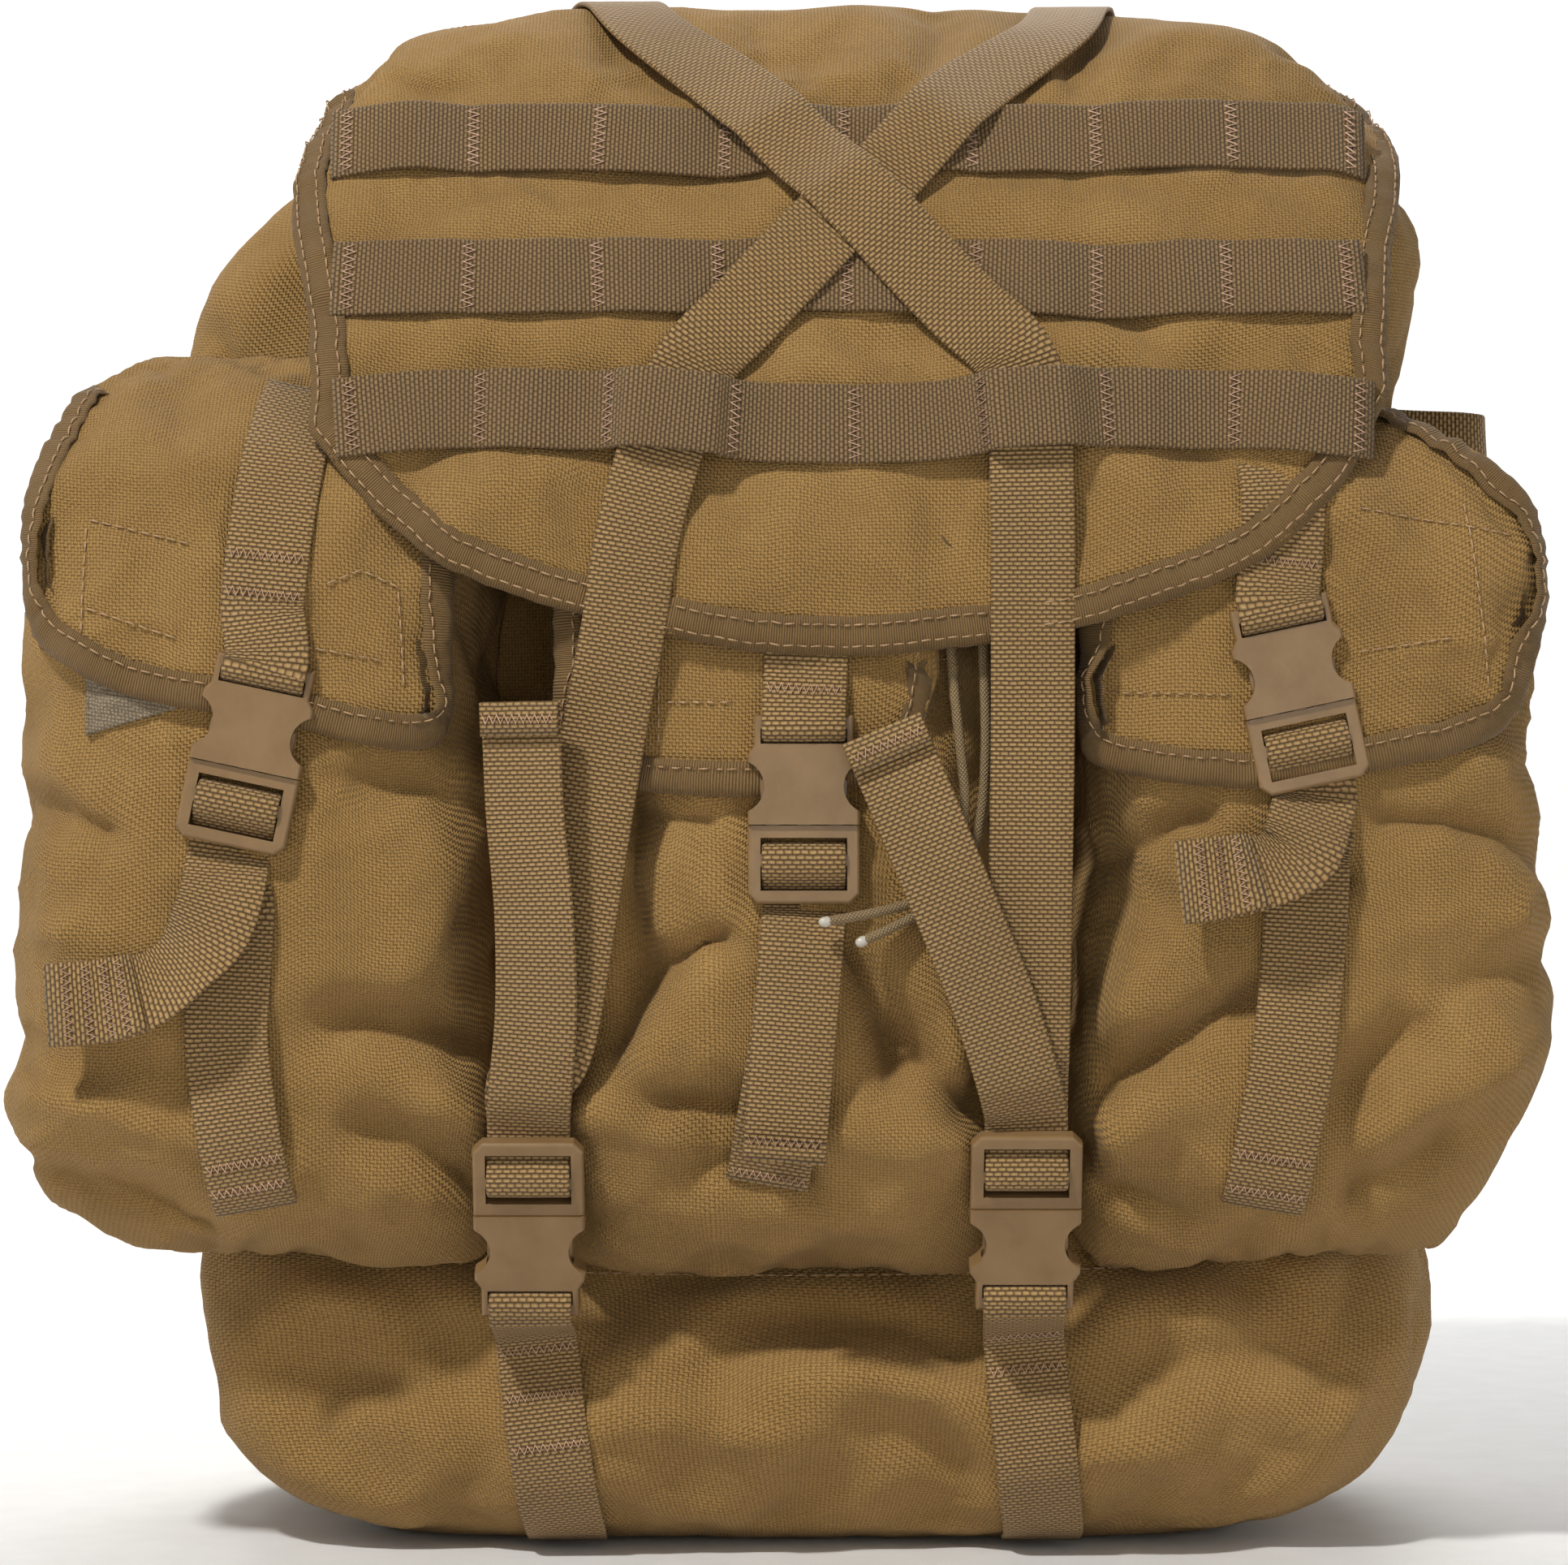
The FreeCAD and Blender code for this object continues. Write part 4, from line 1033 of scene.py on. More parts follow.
FLAP_FOLDS = {
    "left": [(-200, 352, -172, 306, 7, 5), (-222, 322, -186, 312, 6, -4), (-178, 330, -164, 290, 6, -4),
             (-128, 330, -158, 298, 7, 4), (-110, 322, -140, 300, 6, -3), (-214, 300, -192, 282, 8, 2)],
    "centre": [(-60, 300, -50, 250, 6, 3), (30, 330, 40, 262, 6, 4), (14, 310, 22, 262, 5, -3)],
    "right": [(150, 340, 214, 262, 6, 5), (138, 330, 200, 258, 6, -5), (180, 350, 228, 330, 7, 4),
              (112, 300, 130, 262, 9, -3), (196, 320, 226, 300, 8, 3)],
}


def make_flap(side):
    spec = FLAPS[side]
    rows, columns = 44, 56
    grid = panel(FLAP_PATH, spec["left"], spec["right"], spec["hem"], rows, columns, 0.35)
    share = np.linspace(-1, 1, columns)[None, :]
    drop = np.where(share < 0, spec["curl"][0], spec["curl"][1]) * np.abs(share) ** 4 * MM
    level = np.clip(np.linspace(0, 1, rows) * 2.2, 0, 1)[:, None]
    grid[..., 1] += drop * level
    grid = folds(grid, [(*fold[:5], fold[5] * 1.4) for fold in FLAP_FOLDS[side]])
    seed = {"left": 51.0, "centre": 57.0, "right": 63.0}[side]
    calm = np.clip(np.arange(rows) / 6, 0, 1)[:, None]
    grid[..., 1] -= MM * calm * (2.2 * noise_over(grid, 30.0, seed)
                                 + 1.4 * ridges_over(grid, 44.0, seed + 2))
    obj = panel_piece("flap_cloth_" + side, grid)
    weight = edge_weights(rows, columns, 1.0, 0.8, 0.6, 4)
    grid = settle(obj, (rows, columns), pinned=weight.ravel(), pressure=2.5, grow=0.06, frames=12,
                  cap=0.005)
    rest_on(grid, depth_under(grid, pockets_tree, 0.05), 4, 0.0026)
    move_vertices(obj, grid.reshape(-1, 3))
    normal = normals_of(grid, (0, -1, 0))
    line, pull, look = border(grid, normal, 12)
    tape, thread = bind_edge("flap_tape_" + side, line, pull, look, "flap_" + side, 0.010, seed)
    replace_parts(tape, "flap_binding_" + side)
    creased(obj, seed)
    thicken(obj, 0.0018, 0.0)
    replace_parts(obj, "flap_" + side)
    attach(obj, "flap_" + side)
    return obj


flap_cloths = {side: make_flap(side) for side in FLAPS}


# ------------------------------------------------------------------ lid

LID_PATH = [(86, 470), (74, 480), (48, 487), (8, 491), (-30, 489.5), (-62, 479), (-86, 460), (-100, 440),
            (-113, 417), (-123, 396), (-133, 372), (-141, 348), (-146, 325), (-148, 300), (-148, 272)]
LID_LEFT = [(-492, -146), (-478, -149), (-455, -151), (-431, -154), (-410, -155), (-375, -151),
            (-350, -143)]
LID_RIGHT = [(-492, 186), (-478, 193), (-462, 194), (-445, 193), (-420, 192), (-390, 190), (-362, 183.5),
             (-335, 172)]
LID_HEM = [(-143, 350), (-133, 337), (-121.5, 325), (-107, 313), (-91.5, 305), (-76, 299.5), (-61.5, 295.5),
           (-30, 288), (-1.5, 283.5), (28, 283.5), (58.5, 286.5), (91, 292), (121, 301.5), (137, 308),
           (150, 316), (161, 326), (171, 338), (183.5, 362)]
LID_FOLDS = [
    (-140, 404, -60, 420, 5, -1.5), (20, 424, 40, 372, 8, -2.5), (-60, 428, -8, 432, 7, -3),
    (-6, 432, 20, 412, 8, 3), (96, 396, 112, 374, 7, -4), (110, 400, 126, 372, 7, 3),
    (-118, 330, -94, 346, 5, -4), (-94, 346, -62, 347, 5, -4), (-104, 326, -66, 334, 9, 4),
    (118, 344, 150, 330, 6, -4), (136, 342, 164, 352, 6, 3), (88, 338, 116, 330, 8, 3),
    (60, 430, 120, 421, 7, -2), (96, 428, 180, 418, 8, 2), (-140, 378, -50, 372, 8, 2),
    (-20, 336, 10, 346, 6, -2.5), (-60, 330, -20, 300, 14, 2), (-116, 470, -60, 474, 8, 2.5),
    (100, 476, 150, 470, 8, 2.5), (-30, 480, 70, 478, 9, 2)]


def make_lid():
    rows, columns = 84, 96
    grid = panel(LID_PATH, LID_LEFT, LID_RIGHT, LID_HEM, rows, columns, 0.62)
    rear = np.clip((grid[..., 1] / MM + 30) / 118, 0, 1)
    grid[..., 0] += (18.5 * MM - grid[..., 0]) * 0.13 * rear
    share = (grid[..., 0] / MM - 18.5) / 171
    high = np.clip((grid[..., 2] / MM - 392) / 90, 0, 1)
    grid[..., 2] -= MM * 30 * np.clip(np.abs(share), 0, 1) ** 6 * high ** 1.3
    edge = np.clip(np.abs(np.linspace(-1, 1, columns)), 0, 1)[None, :] ** 7
    grid[..., 1] += MM * 2.5 * edge * np.clip(np.linspace(0, 1, rows) * 1.8 - 0.5, 0, 1)[:, None]
    grid = folds(grid, [(*fold[:5], fold[5] * 1.8) for fold in LID_FOLDS])
    normal = normals_of(grid, (0, -1, 0.5))
    calm = np.clip(np.arange(rows) / 8, 0, 1)[:, None]
    bumps = (2.6 * noise_over(grid, 19.0, 71.0, (0.8, 1, 1.2))
             + 1.9 * ridges_over(grid, 30.0, 77.0, (0.8, 1, 1.4)))
    grid = grid + normal * MM * (calm * bumps)[..., None]
    obj = panel_piece("lid_cloth", grid)
    weight = edge_weights(rows, columns, 1.0, 0.85, 0.8, 4)
    for height in (431, 456, 385, 409, 340, 363):
        weight = np.maximum(weight, 0.75 * (np.abs(grid[..., 2] / MM - height) < 2.6)
                            * (grid[..., 1] < -0.05))
    grid = settle(obj, (rows, columns), pinned=weight.ravel(), pressure=3, grow=0.075, frames=16,
                  cap=0.007)
    cover = tree_of(*flap_cloths.values(), *pocket_cloths.values())
    rest_on(grid, depth_under(grid, cover, 0.2), rows // 2, 0.0036)
    move_vertices(obj, grid.reshape(-1, 3))
    normal = normals_of(grid, (0, -1, 0.5))
    line, pull, look = border(grid, normal, 4)
    tape, thread = bind_edge("lid_tape", line, pull, look, "lid", 0.011, 81.0, True)
    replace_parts(tape, "lid_binding")
    creased(obj, 81.0)
    thicken(obj, 0.0022, 0.0)
    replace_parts(obj, "lid")
    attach(obj, "lid")
    return obj


lid_cloth = make_lid()


# ------------------------------------------------------------------ webbing on the lid

def make_row(number, low, dip, first, last, *under):
    """A row of webbing, tacked down every one and a half inches and slack between the tacks."""
    tree = tree_of(lid_cloth, *under)
    middle = low + 12.4
    path, looks = [], []
    for x in np.linspace(first, last, 44):
        z = middle + dip * sin((x + 137) / 314 * pi * 3.1) + 0.6 * noise.noise(Vector((x / 30, number, 0)))
        y = np.interp(-z, [-p[1] for p in LID_PATH[4:]], [p[0] for p in LID_PATH[4:]])
        slope = 0.45 if number == 1 else 0.3 if number == 2 else 0.15
        path.append((x * MM, y * MM, z * MM))
        looks.append((0, -1, slope))
    line = drape(tree, path, looks, lift=0.0011, step=0.0026, taut=3 if number < 3 else 8)
    centre, _, look = line
    run = run_along(centre)
    # Eight cells between the nine tacks, and a little webbing past both end ones.
    cell = run[-1] / 8.24
    slack = np.abs(np.sin(np.clip(run - cell * 0.12, 0, cell * 8) / cell * pi)) ** 0.8
    centre = centre + look * (0.0016 * slack)[:, None]
    line = (centre, *aim(centre, look))
    # The row takes the darker copy of the webbing: painted shade.
    row = ribbon(f"row_{number}", line, "lid", width=24.6 * MM, material=SHADED_ROW_WEBBING)
    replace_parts(row, f"pals_row_{number}")
    routes = []
    for k in range(9):
        routes.append(min(len(run) - 2, nearest(run, cell * (0.12 + k))))
    if number == 3:
        routes.append(nearest(centre[:, 0], 0.0615))
    routes = [tack_across(line, index, ON_WEB, 0.0014, 0.0036, 17, 12.3 * MM) for index in routes]
    thread_piece(f"row_{number}_tacks", routes, 0.00038, "lid")
    return row


upper_rows = [make_row(1, 431, 0.6, -142, 182), make_row(2, 385, -0.8, -139, 178)]

CROSS_A = (mm((-70, 62, 486), (-62, 10, 491), (-54, -30, 490), (-42, -62, 480), (-17, -86, 459),
              (11, -106, 431), (38, -120, 405), (55, -130, 388), (70, -138, 373), (75, -146, 352)),
           [(0, 0, 1), (0, 0, 1), (0, -0.2, 1), (0, -0.6, 0.9), (0, -0.85, 0.6), (0, -0.9, 0.45),
            (0, -1, 0.3), (0, -1, 0.25), (0, -1, 0.2), (0, -1, 0.1)])
CROSS_B = (mm((104, 62, 485), (100, 10, 490), (94, -30, 489), (85, -62, 480), (60, -86, 459),
              (32, -106, 431), (6, -120, 405), (-11, -130, 388), (-26, -138, 373), (-36, -146, 352)),
           CROSS_A[1])


def make_cross_straps():
    """The two closing straps cross on the lid, over the upper rows."""
    under = drape(tree_of(lid_cloth, *upper_rows), *CROSS_B, lift=ON_WEB)
    first = ribbon("cross_strap_right", under, "lid")
    over = drape(tree_of(lid_cloth, first, *upper_rows), *CROSS_A, lift=ON_WEB)
    second = ribbon("cross_strap_left", over, "lid")
    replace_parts(second, "lid_strap_left")
    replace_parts(first, "lid_strap_right")
    return first, second


cross_straps = make_cross_straps()


def make_drop_strap(side, places):
    """From under the third row, over the lid's hem and down to behind the main buckle's ladder."""
    buckle = "main_" + side
    path = [tuple(p) for p in mm(*places)]
    path += [buckle_point(buckle, 0, 6.0, 40), buckle_point(buckle, 0, 5.4, 27),
             buckle_point(buckle, 0, 5.1, 15)]
    looks = [(0, -1, 0)] * (len(path) - 3) + buckle_looks(buckle, (-1, 0), (-1, 0), (-1, 0))
    line = drape(tree_of(lid_cloth, bag_cloth, *pocket_cloths.values(), *flap_cloths.values()),
                 path, looks, lift=ON_WEB, step=0.003, hang=True, taut=14)
    strap_piece = ribbon("drop_strap_" + side, line)
    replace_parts(strap_piece, "closure_strap_" + side)
    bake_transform(strap_piece)
    return strap_piece


drop_left = make_drop_strap("left", [(-31, -150, 362), (-37, -151, 345), (-44, -151, 318),
                                     (-49, -151.5, 287), (-55, -149.5, 255), (-63, -146, 205),
                                     (-70, -143, 165)])
drop_right = make_drop_strap("right", [(74, -151, 362), (74.5, -151.5, 345), (75, -152, 318),
                                       (75, -152, 287), (75, -150.5, 255), (74.5, -147, 205),
                                       (74, -144, 165)])


make_row(3, 341.5, 2.2, -136.5, 179, *cross_straps, drop_left, drop_right)


# ------------------------------------------------------------------ webbing tails and buckle straps

def tail_line(buckle, places, looks):
    """The strap's end: round the ladder's middle bar, out behind the end bar, then on in the open."""
    path = [buckle_point(buckle, *p) for p in WRAP[0]] + mm(*places)
    looks = buckle_looks(buckle, *WRAP[1]) + (looks or [(0, -1, 0)] * len(places))
    return laid(path, looks, 0.003)


def hemmed(name, line, body, turn, tacks):
    """The folded hem at a tail's end: a short second layer on its face, with rows of stitching."""
    centre, side, look = line
    run = run_along(centre)
    keep = run > run[-1] - turn
    part = (centre[keep] + look[keep] * 2.1 * MM, side[keep], look[keep])
    ribbon(name + "_hem", part, body, width=WEB * 0.99, thick=0.0016)
    routes = []
    for share in tacks:
        index = min(len(part[0]) - 2, max(1, round(share * (len(part[0]) - 1))))
        routes.append(tack_across(part, index, 0.0011, 0.0012, 0.0026, 19))
    thread_piece(name + "_hem_stitches", routes, THREAD_RADIUS, body)


TAILS = [
    ("tail_left", "closure_tail_left", "main_left", "closure_plug_left",
     [(-77, -143, 150), (-75, -147, 175), (-75.5, -151, 205), (-78, -155.2, 236), (-79, -157, 268)],
     [(0, -1, 0), (-0.15, -1, 0.1), (-0.3, -1, 0.15), (-0.35, -1, 0.1), (-0.3, -1, 0)], 11, (0.35,)),
    ("tail_right", "closure_tail_right", "main_right", "closure_plug_right",
     [(71, -145, 153), (63, -151.5, 178), (52, -157, 205), (40, -160, 234), (29, -160, 260)],
     [(0, -1, 0), (0.05, -1, 0), (0.1, -1, 0), (0, -1, 0), (0, -1, 0.05)], 11, (0.35,)),
    ("tail_pocket_left", "pocket_tail_left", "pocket_left", "pocket_plug_left",
     [(-169.5, -150, 211), (-173, -152.5, 200), (-180, -153.5, 190), (-190, -153.5, 182),
      (-204, -152, 178), (-222, -151, 176.5)],
     [(0, -1, 0), (0, -1, 0.2), (-0.25, -0.8, 0.55), (-0.1, -0.85, 0.5), (0, -1, 0.1), (0, -1, 0)],
     33, (0.1, 0.45, 0.62, 0.9)),
    ("tail_pocket_right", "pocket_tail_right", "pocket_right", "pocket_plug_right",
     [(158.5, -149.5, 232), (156, -152, 224), (149, -154.5, 218.5), (139, -155, 216),
      (128, -154, 214.5), (119, -153, 213.5)],
     [(0, -1, 0), (0, -1, 0.2), (-0.2, -0.8, 0.5), (0, -0.9, 0.4), (0, -1, 0.1), (0, -1, 0)],
     30, (0.1, 0.42, 0.6, 0.9)),
    ("tail_pocket_centre", "pocket_tail_centre", "pocket_centre", "pocket_plug_centre",
     [(5.5, -150, 198), (4, -149.5, 178), (2, -148, 155), (0, -146, 129)], None, 12, (0.2, 0.8)),
]
for name, node, buckle, body, places, looks, hem, tacks in TAILS:
    line = tail_line(buckle, places, looks)
    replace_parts(ribbon(name, line, body, thick=1.4 * MM), node)
    hemmed(name, line, body, hem * MM, tacks)


def socket_wrap(buckle):
    """Webbing coming out of a socket's slot, over the front of its end bar."""
    points = [buckle_point(buckle, 0, y, z) for y, z in ((1.5, -25.6), (-2.6, -25.6), (-5.6, -27.6),
                                                         (-5.9, -31), (-5.0, -35))]
    return points, buckle_looks(buckle, (0, 1), (0, 1), (-1, 0.6), (-1, 0), (-1, -0.1))


def make_bottom_strap(side, shift, tacks):
    buckle = "main_" + side
    x = BUCKLES[buckle][0]
    start, looks = socket_wrap(buckle)
    path = start + mm(*[(x + shift * share, y, z) for share, y, z in (
        (0.1, -107, 70), (0.35, -105, 50), (0.6, -103, 34), (0.8, -98, 20), (1, -88, 8), (1, -74, 2.4))])
    looks = looks + [(0, y, z) for y, z in ((-1, -0.05), (-1, 0), (-1, -0.1), (-1, -0.3), (-0.8, -0.6),
                                            (-0.25, -1))]
    line = drape(tree_of(base_cloth), path, looks, lift=ON_WEB, step=0.003, hang=True, taut=10)
    strap_piece = ribbon("base_strap_" + side, line, "bag")
    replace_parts(strap_piece, "bottom_strap_" + side)
    tack_rows(f"base_strap_{side}_tacks", line, tacks, "bag", 2.6 * MM, 19, 10)


make_bottom_strap("left", 9, (66, 53, 36))
make_bottom_strap("right", 8, (72, 60))

def make_flap_strap(side, places, tacks):
    buckle = "pocket_" + side
    start, looks = socket_wrap(buckle)
    line = drape(tree_of(flap_cloths[side]), mm(*places), (0, -1, 0.05), lift=ON_WEB, step=0.003,
                 taut=12)
    joined = np.concatenate([line[0], np.array(start[::-1])])
    line = laid(joined, np.concatenate([line[2], np.array(looks[::-1])]), 0.003)
    piece = ribbon("flap_web_" + side, line, "flap_" + side)
    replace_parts(piece, "flap_strap_" + side)
    tack_rows(f"flap_web_{side}_tacks", line, tacks, "flap_" + side)


make_flap_strap("left", [(-147, -120, 368), (-151, -132, 350), (-155, -142, 320), (-157.5, -143, 296)],
                (312, 301))
make_flap_strap("centre", [(7.5, -142, 312), (7, -142, 290), (6.5, -143, 276)], (274,))
make_flap_strap("right", [(150, -140, 345), (151, -142, 325), (150, -143, 308)], (312,))


def make_sewn_strap(side, places, tacks):
    """The strap sewn low on the pocket, rising behind the plug's ladder."""
    buckle = "pocket_" + side
    rise = [buckle_point(buckle, 0, y, z) for y, z in ((5.0, 14), (5.2, 22), (5.6, 30))]
    tree = tree_of(pocket_cloths[side], flap_cloths[side])
    line = drape(tree, mm(*places), (0, -1, 0), lift=ON_WEB, step=0.003, taut=10)
    look = np.concatenate([np.repeat([[0, -1.0, 0]], 3, axis=0), line[2]])
    line = laid(np.concatenate([np.array(rise), line[0]]), look, 0.003)
    piece = ribbon("pocket_web_" + side, line)
    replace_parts(piece, "pocket_strap_" + side)
    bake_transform(piece)
    tack_rows(f"pocket_web_{side}_tacks", line, tacks, "bag")


make_sewn_strap("left", [(-167, -140, 205), (-168, -139, 190), (-169, -138.5, 165), (-166, -133, 140),
                         (-162, -124, 117)], (129, 120))
make_sewn_strap("centre", [(5, -142, 190), (3, -141, 170), (-1, -138, 145), (-5, -130, 121)], (124,))
make_sewn_strap("right", [(159, -141, 222), (158, -140, 200), (155, -138, 165), (151, -132, 140),
                          (147, -123, 116)], (129, 119.5))


# ------------------------------------------------------------------ small trims

def flat_patch(name, node, corners, tree, material, slot, body, count=14):
    """A small patch stuck on whatever is in front of it, between four front-view corners."""
    a, b, c, d = (np.array(p, float) * MM for p in corners)
    grid = np.zeros((count, count, 3))
    for i, v in enumerate(np.linspace(0, 1, count)):
        for j, u in enumerate(np.linspace(0, 1, count)):
            x, z = (a * (1 - u) + b * u) * (1 - v) + (d * (1 - u) + c * u) * v
            grid[i, j] = (x, front_of(tree, x, z, -0.137) - ON_WEB, z)
    grid[..., 1] = np.minimum(grid[..., 1], grid[..., 1].mean() + 0.002)
    patch = grid_piece(name, grid, material, None, slot)
    thicken(patch, CLOTH_THICK)
    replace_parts(patch, node)
    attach(patch, body)


flat_patch("hook_tape_patch", "hook_patch", [(-212, 277), (-183, 272), (-183, 266.5), (-212, 258)],
           tree_of(pocket_cloths["left"]), HOOKS, "hook_tape", "bag")


def box_stitch(name, body, tree, loops):
    """Dashed rectangles sewn through the cloth: the edges of what is stitched behind."""
    routes = []
    for loop in loops:
        points = []
        for (x0, z0), (x1, z1) in zip(loop, loop[1:]):
            steps = max(2, int(np.hypot(x1 - x0, z1 - z0) / 3))
            for t in np.linspace(0, 1, steps, endpoint=False):
                x, z = (x0 + (x1 - x0) * t) * MM, (z0 + (z1 - z0) * t) * MM
                points.append((x, front_of(tree, x, z) - 0.0001, z))
        routes += stitch_routes(points, (0, -0.0006, 0))
    thread_piece(name, routes, FINE_THREAD, body, DARK_THREAD)


FLAP_STITCHES = {
    "left": [[(-212, 323), (-213, 284)], [(-213, 324), (-176, 315)], [(-213, 297), (-180, 286)],
             [(-140, 303), (-128, 308), (-117, 303), (-115, 268)], [(-150, 296), (-150, 276)],
             [(-152, 286), (-118, 280)]],
    "right": [[(97, 284), (97, 254)], [(97, 271), (140, 270)], [(172, 283), (206, 288)],
              [(172, 327), (226, 318)], [(206, 330), (214, 268)]],
    "centre": [[(-38, 282), (-38, 250)], [(-38, 268), (-12, 268)]],
}
for side, loops in FLAP_STITCHES.items():
    box_stitch("flap_stitch_" + side, "flap_" + side, tree_of(flap_cloths[side]), loops)


def make_side_trims():
    path = ((188, -41, 354), (206, -43, 353), (221, -42.5, 352.5), (229, -38, 352), (230.5, -29, 352),
              (227, -20, 352.5), (206, -15.5, 353), (188, -16.5, 354))
    looks = [(0, -1, 0.1), (0, -1, 0.15), (0.3, -1, 0.15), (1, -0.8, 0.1), (1, 0, 0), (0.8, 1, 0),
             (0, 1, 0), (0, 1, 0)]
    web("side_web_loop", "side_loop", path, looks, 0.0025)
    tabs = []
    for sign in (-1, 1):
        path = ((sign * 190, 6, 112), (sign * 204, 5, 111), (sign * 217, 4, 108), (sign * 219, 6, 107),
                  (sign * 216, 8.5, 108), (sign * 204, 9, 110), (sign * 190, 9, 111))
        looks = [(sign * x, y, 0) for x, y in ((0, -1), (0, -1), (0.6, -1), (1, 0), (0.6, 1), (0, 1),
                                               (0, 1))]
        tabs.append(web("low_tab_" + ("left" if sign < 0 else "right"), None, path, looks, 0.002,
                        width=22 * MM))
    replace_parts(tabs[0], "side_tabs")
    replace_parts(tabs[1], "side_tabs")


make_side_trims()


# ------------------------------------------------------------------ drawcord ends

# The same points as the CAD route's, in metres.
CORD_ROUTES = {
    "left": ((0.05, -0.139, 0.306), (0.0505, -0.141, 0.284), (0.053, -0.1435, 0.258),
             (0.056, -0.144, 0.232), (0.047, -0.1445, 0.21), (0.03, -0.15, 0.2045),
             (0.013, -0.1565, 0.202)),
    "right": ((0.06, -0.139, 0.305), (0.0605, -0.141, 0.283), (0.0615, -0.1432, 0.256),
              (0.06, -0.143, 0.231), (0.054, -0.1445, 0.212), (0.04, -0.1468, 0.203),
              (0.024, -0.1519, 0.196)),
}


def make_cord(side):
    """One end of the collar's drawcord: a braided tube round its route's own spline."""
    route = CORD_ROUTES[side]
    curve = bpy.data.curves.new("route_" + side, "CURVE")
    curve.dimensions = "3D"
    curve.resolution_u = 14
    spline = curve.splines.new("NURBS")
    spline.points.add(len(route) - 1)
    for point, place in zip(spline.points, route):
        point.co = (*place, 1)
    spline.order_u = 3
    spline.use_endpoint_u = True
    guide = bpy.data.objects.new("route_" + side, curve)
    mesh = bpy.data.meshes.new_from_object(guide)
    path = [tuple(v.co) for v in mesh.vertices]
    bpy.data.objects.remove(guide)
    bpy.data.meshes.remove(mesh)
    centre = smooth_path(path, 150)
    ahead = unit(np.gradient(centre, axis=0))
    across = unit(np.cross(ahead, (0.3, 1.0, 0.2)))
    upward = np.cross(across, ahead)
    run = run_along(centre)
    radius, sides = 1.55 * MM, 20
    verts, faces, uvs = [], [], []
    for i in range(len(centre)):
        for j in range(sides):
            turn = 2 * pi * j / sides
            braid = abs(sin(turn * 4 + run[i] * 1500)) * abs(sin(turn * 4 - run[i] * 1500))
            size = radius * (0.94 + 0.10 * braid)
            verts.append(centre[i] + (across[i] * cos(turn) + upward[i] * sin(turn)) * size)
    loop, corners = grid_faces(len(centre), sides, False, True)
    faces += loop
    uvs += [(run[i], j * 2 * pi * radius / sides) for i, j in corners]
    cord = new_piece("drawcord_end_" + side, verts, faces, uvs, SHEATH, None, True, "cord_sheath")
    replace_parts(cord, "drawcord_" + side)
    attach(cord, "bag")
    tip_rows = [(0.0, 0.96), (0.0012, 1.06), (0.0024, 0.9), (0.0031, 0.55), (0.0033, 0.0)]
    tip = np.array([[centre[-1] + ahead[-1] * (reach - 0.0006)
                     + (across[-1] * cos(t) + upward[-1] * sin(t)) * radius * wide
                     for t in np.linspace(0, 2 * pi, 14, endpoint=False)] for reach, wide in tip_rows])
    melted = grid_piece("drawcord_tip_" + side, tip, MELTED, "bag", "cord_sheath", loop_columns=True)


make_cord("left")
make_cord("right")


# ------------------------------------------------------------------ back panel and harness

def close_mesh(obj, weld):
    """Fill open ends and turn every face outwards."""
    mesh = bmesh.new()
    mesh.from_mesh(obj.data)
    if weld:
        bmesh.ops.remove_doubles(mesh, verts=mesh.verts, dist=1e-6)
    bmesh.ops.holes_fill(mesh, edges=[e for e in mesh.edges if e.is_boundary], sides=0)
    bmesh.ops.recalc_face_normals(mesh, faces=mesh.faces)
    mesh.to_mesh(obj.data)
    mesh.free()


def crowned_pad(name, node, outline, inner_y, thick, sag, seed, quilt=None):
    """A stuffed panel: outline is (x half-width at height) pairs, crowned towards +Y, seams pulled in."""
    outline = np.array(outline, float)
    rows, columns = 46, 40
    heights = np.linspace(outline[0, 0], outline[-1, 0], rows)
    grid = np.zeros((rows, columns, 3))
    for i, z in enumerate(heights):
        half = np.interp(z, outline[:, 0], outline[:, 1])
        v = 2 * i / (rows - 1) - 1
        for j, u in enumerate(np.linspace(-1, 1, columns)):
            crown = (1 - abs(u) ** 5) ** 0.5 * (1 - abs(v) ** 9) ** 0.5
            channel = 1.0
            for low in quilt or []:
                channel = min(channel, 1 - 0.6 * np.exp(-((z - low) / 5.0) ** 2))
            wave = 1 + 0.10 * noise.noise(Vector((u * 2.4, v * 4, seed)))
            y = inner_y + 1.2 + (thick - sag) * crown * channel * wave
            grid[i, j] = (half * u * (1 - 0.015 * abs(v) ** 4) * MM, y * MM, z * MM)
    pad = grid_piece(name, grid, CLOTH, None, "harness_cloth")
    if "lumbar" in name or "panel" in name:
        weight = edge_weights(rows, columns, 1, 1, 1)
        for low in quilt or []:
            weight = np.maximum(weight, (np.abs(grid[..., 2] / MM - low) < 3) * 0.9)
        crumple(pad, weight.ravel(), pressure=5, grow=0.03, frames=10, cap=0.003)
    front = vertices(pad).reshape(rows, columns, 3)
    back = front.copy()
    back[..., 1] = inner_y * MM
    both = np.concatenate([front, back[::-1]], axis=0)
    bpy.data.objects.remove(pad)
    pad = grid_piece(name, both, CLOTH, None, "harness_cloth")
    close_mesh(pad, True)
    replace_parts(pad, node)
    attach(pad, "bag")
    return pad


crowned_pad("back_panel_cloth", "back_panel",
                         [(56, 122), (72, 129), (390, 129), (406, 124), (417, 112)], 100.6, 14.2, 1.2, 3.0,
                         [150, 245, 335])
crowned_pad("lumbar_cloth", "lumbar_pad",
                           [(66, 78), (78, 86), (134, 86), (146, 78)], 114.6, 15.6, 1.0, 5.0)


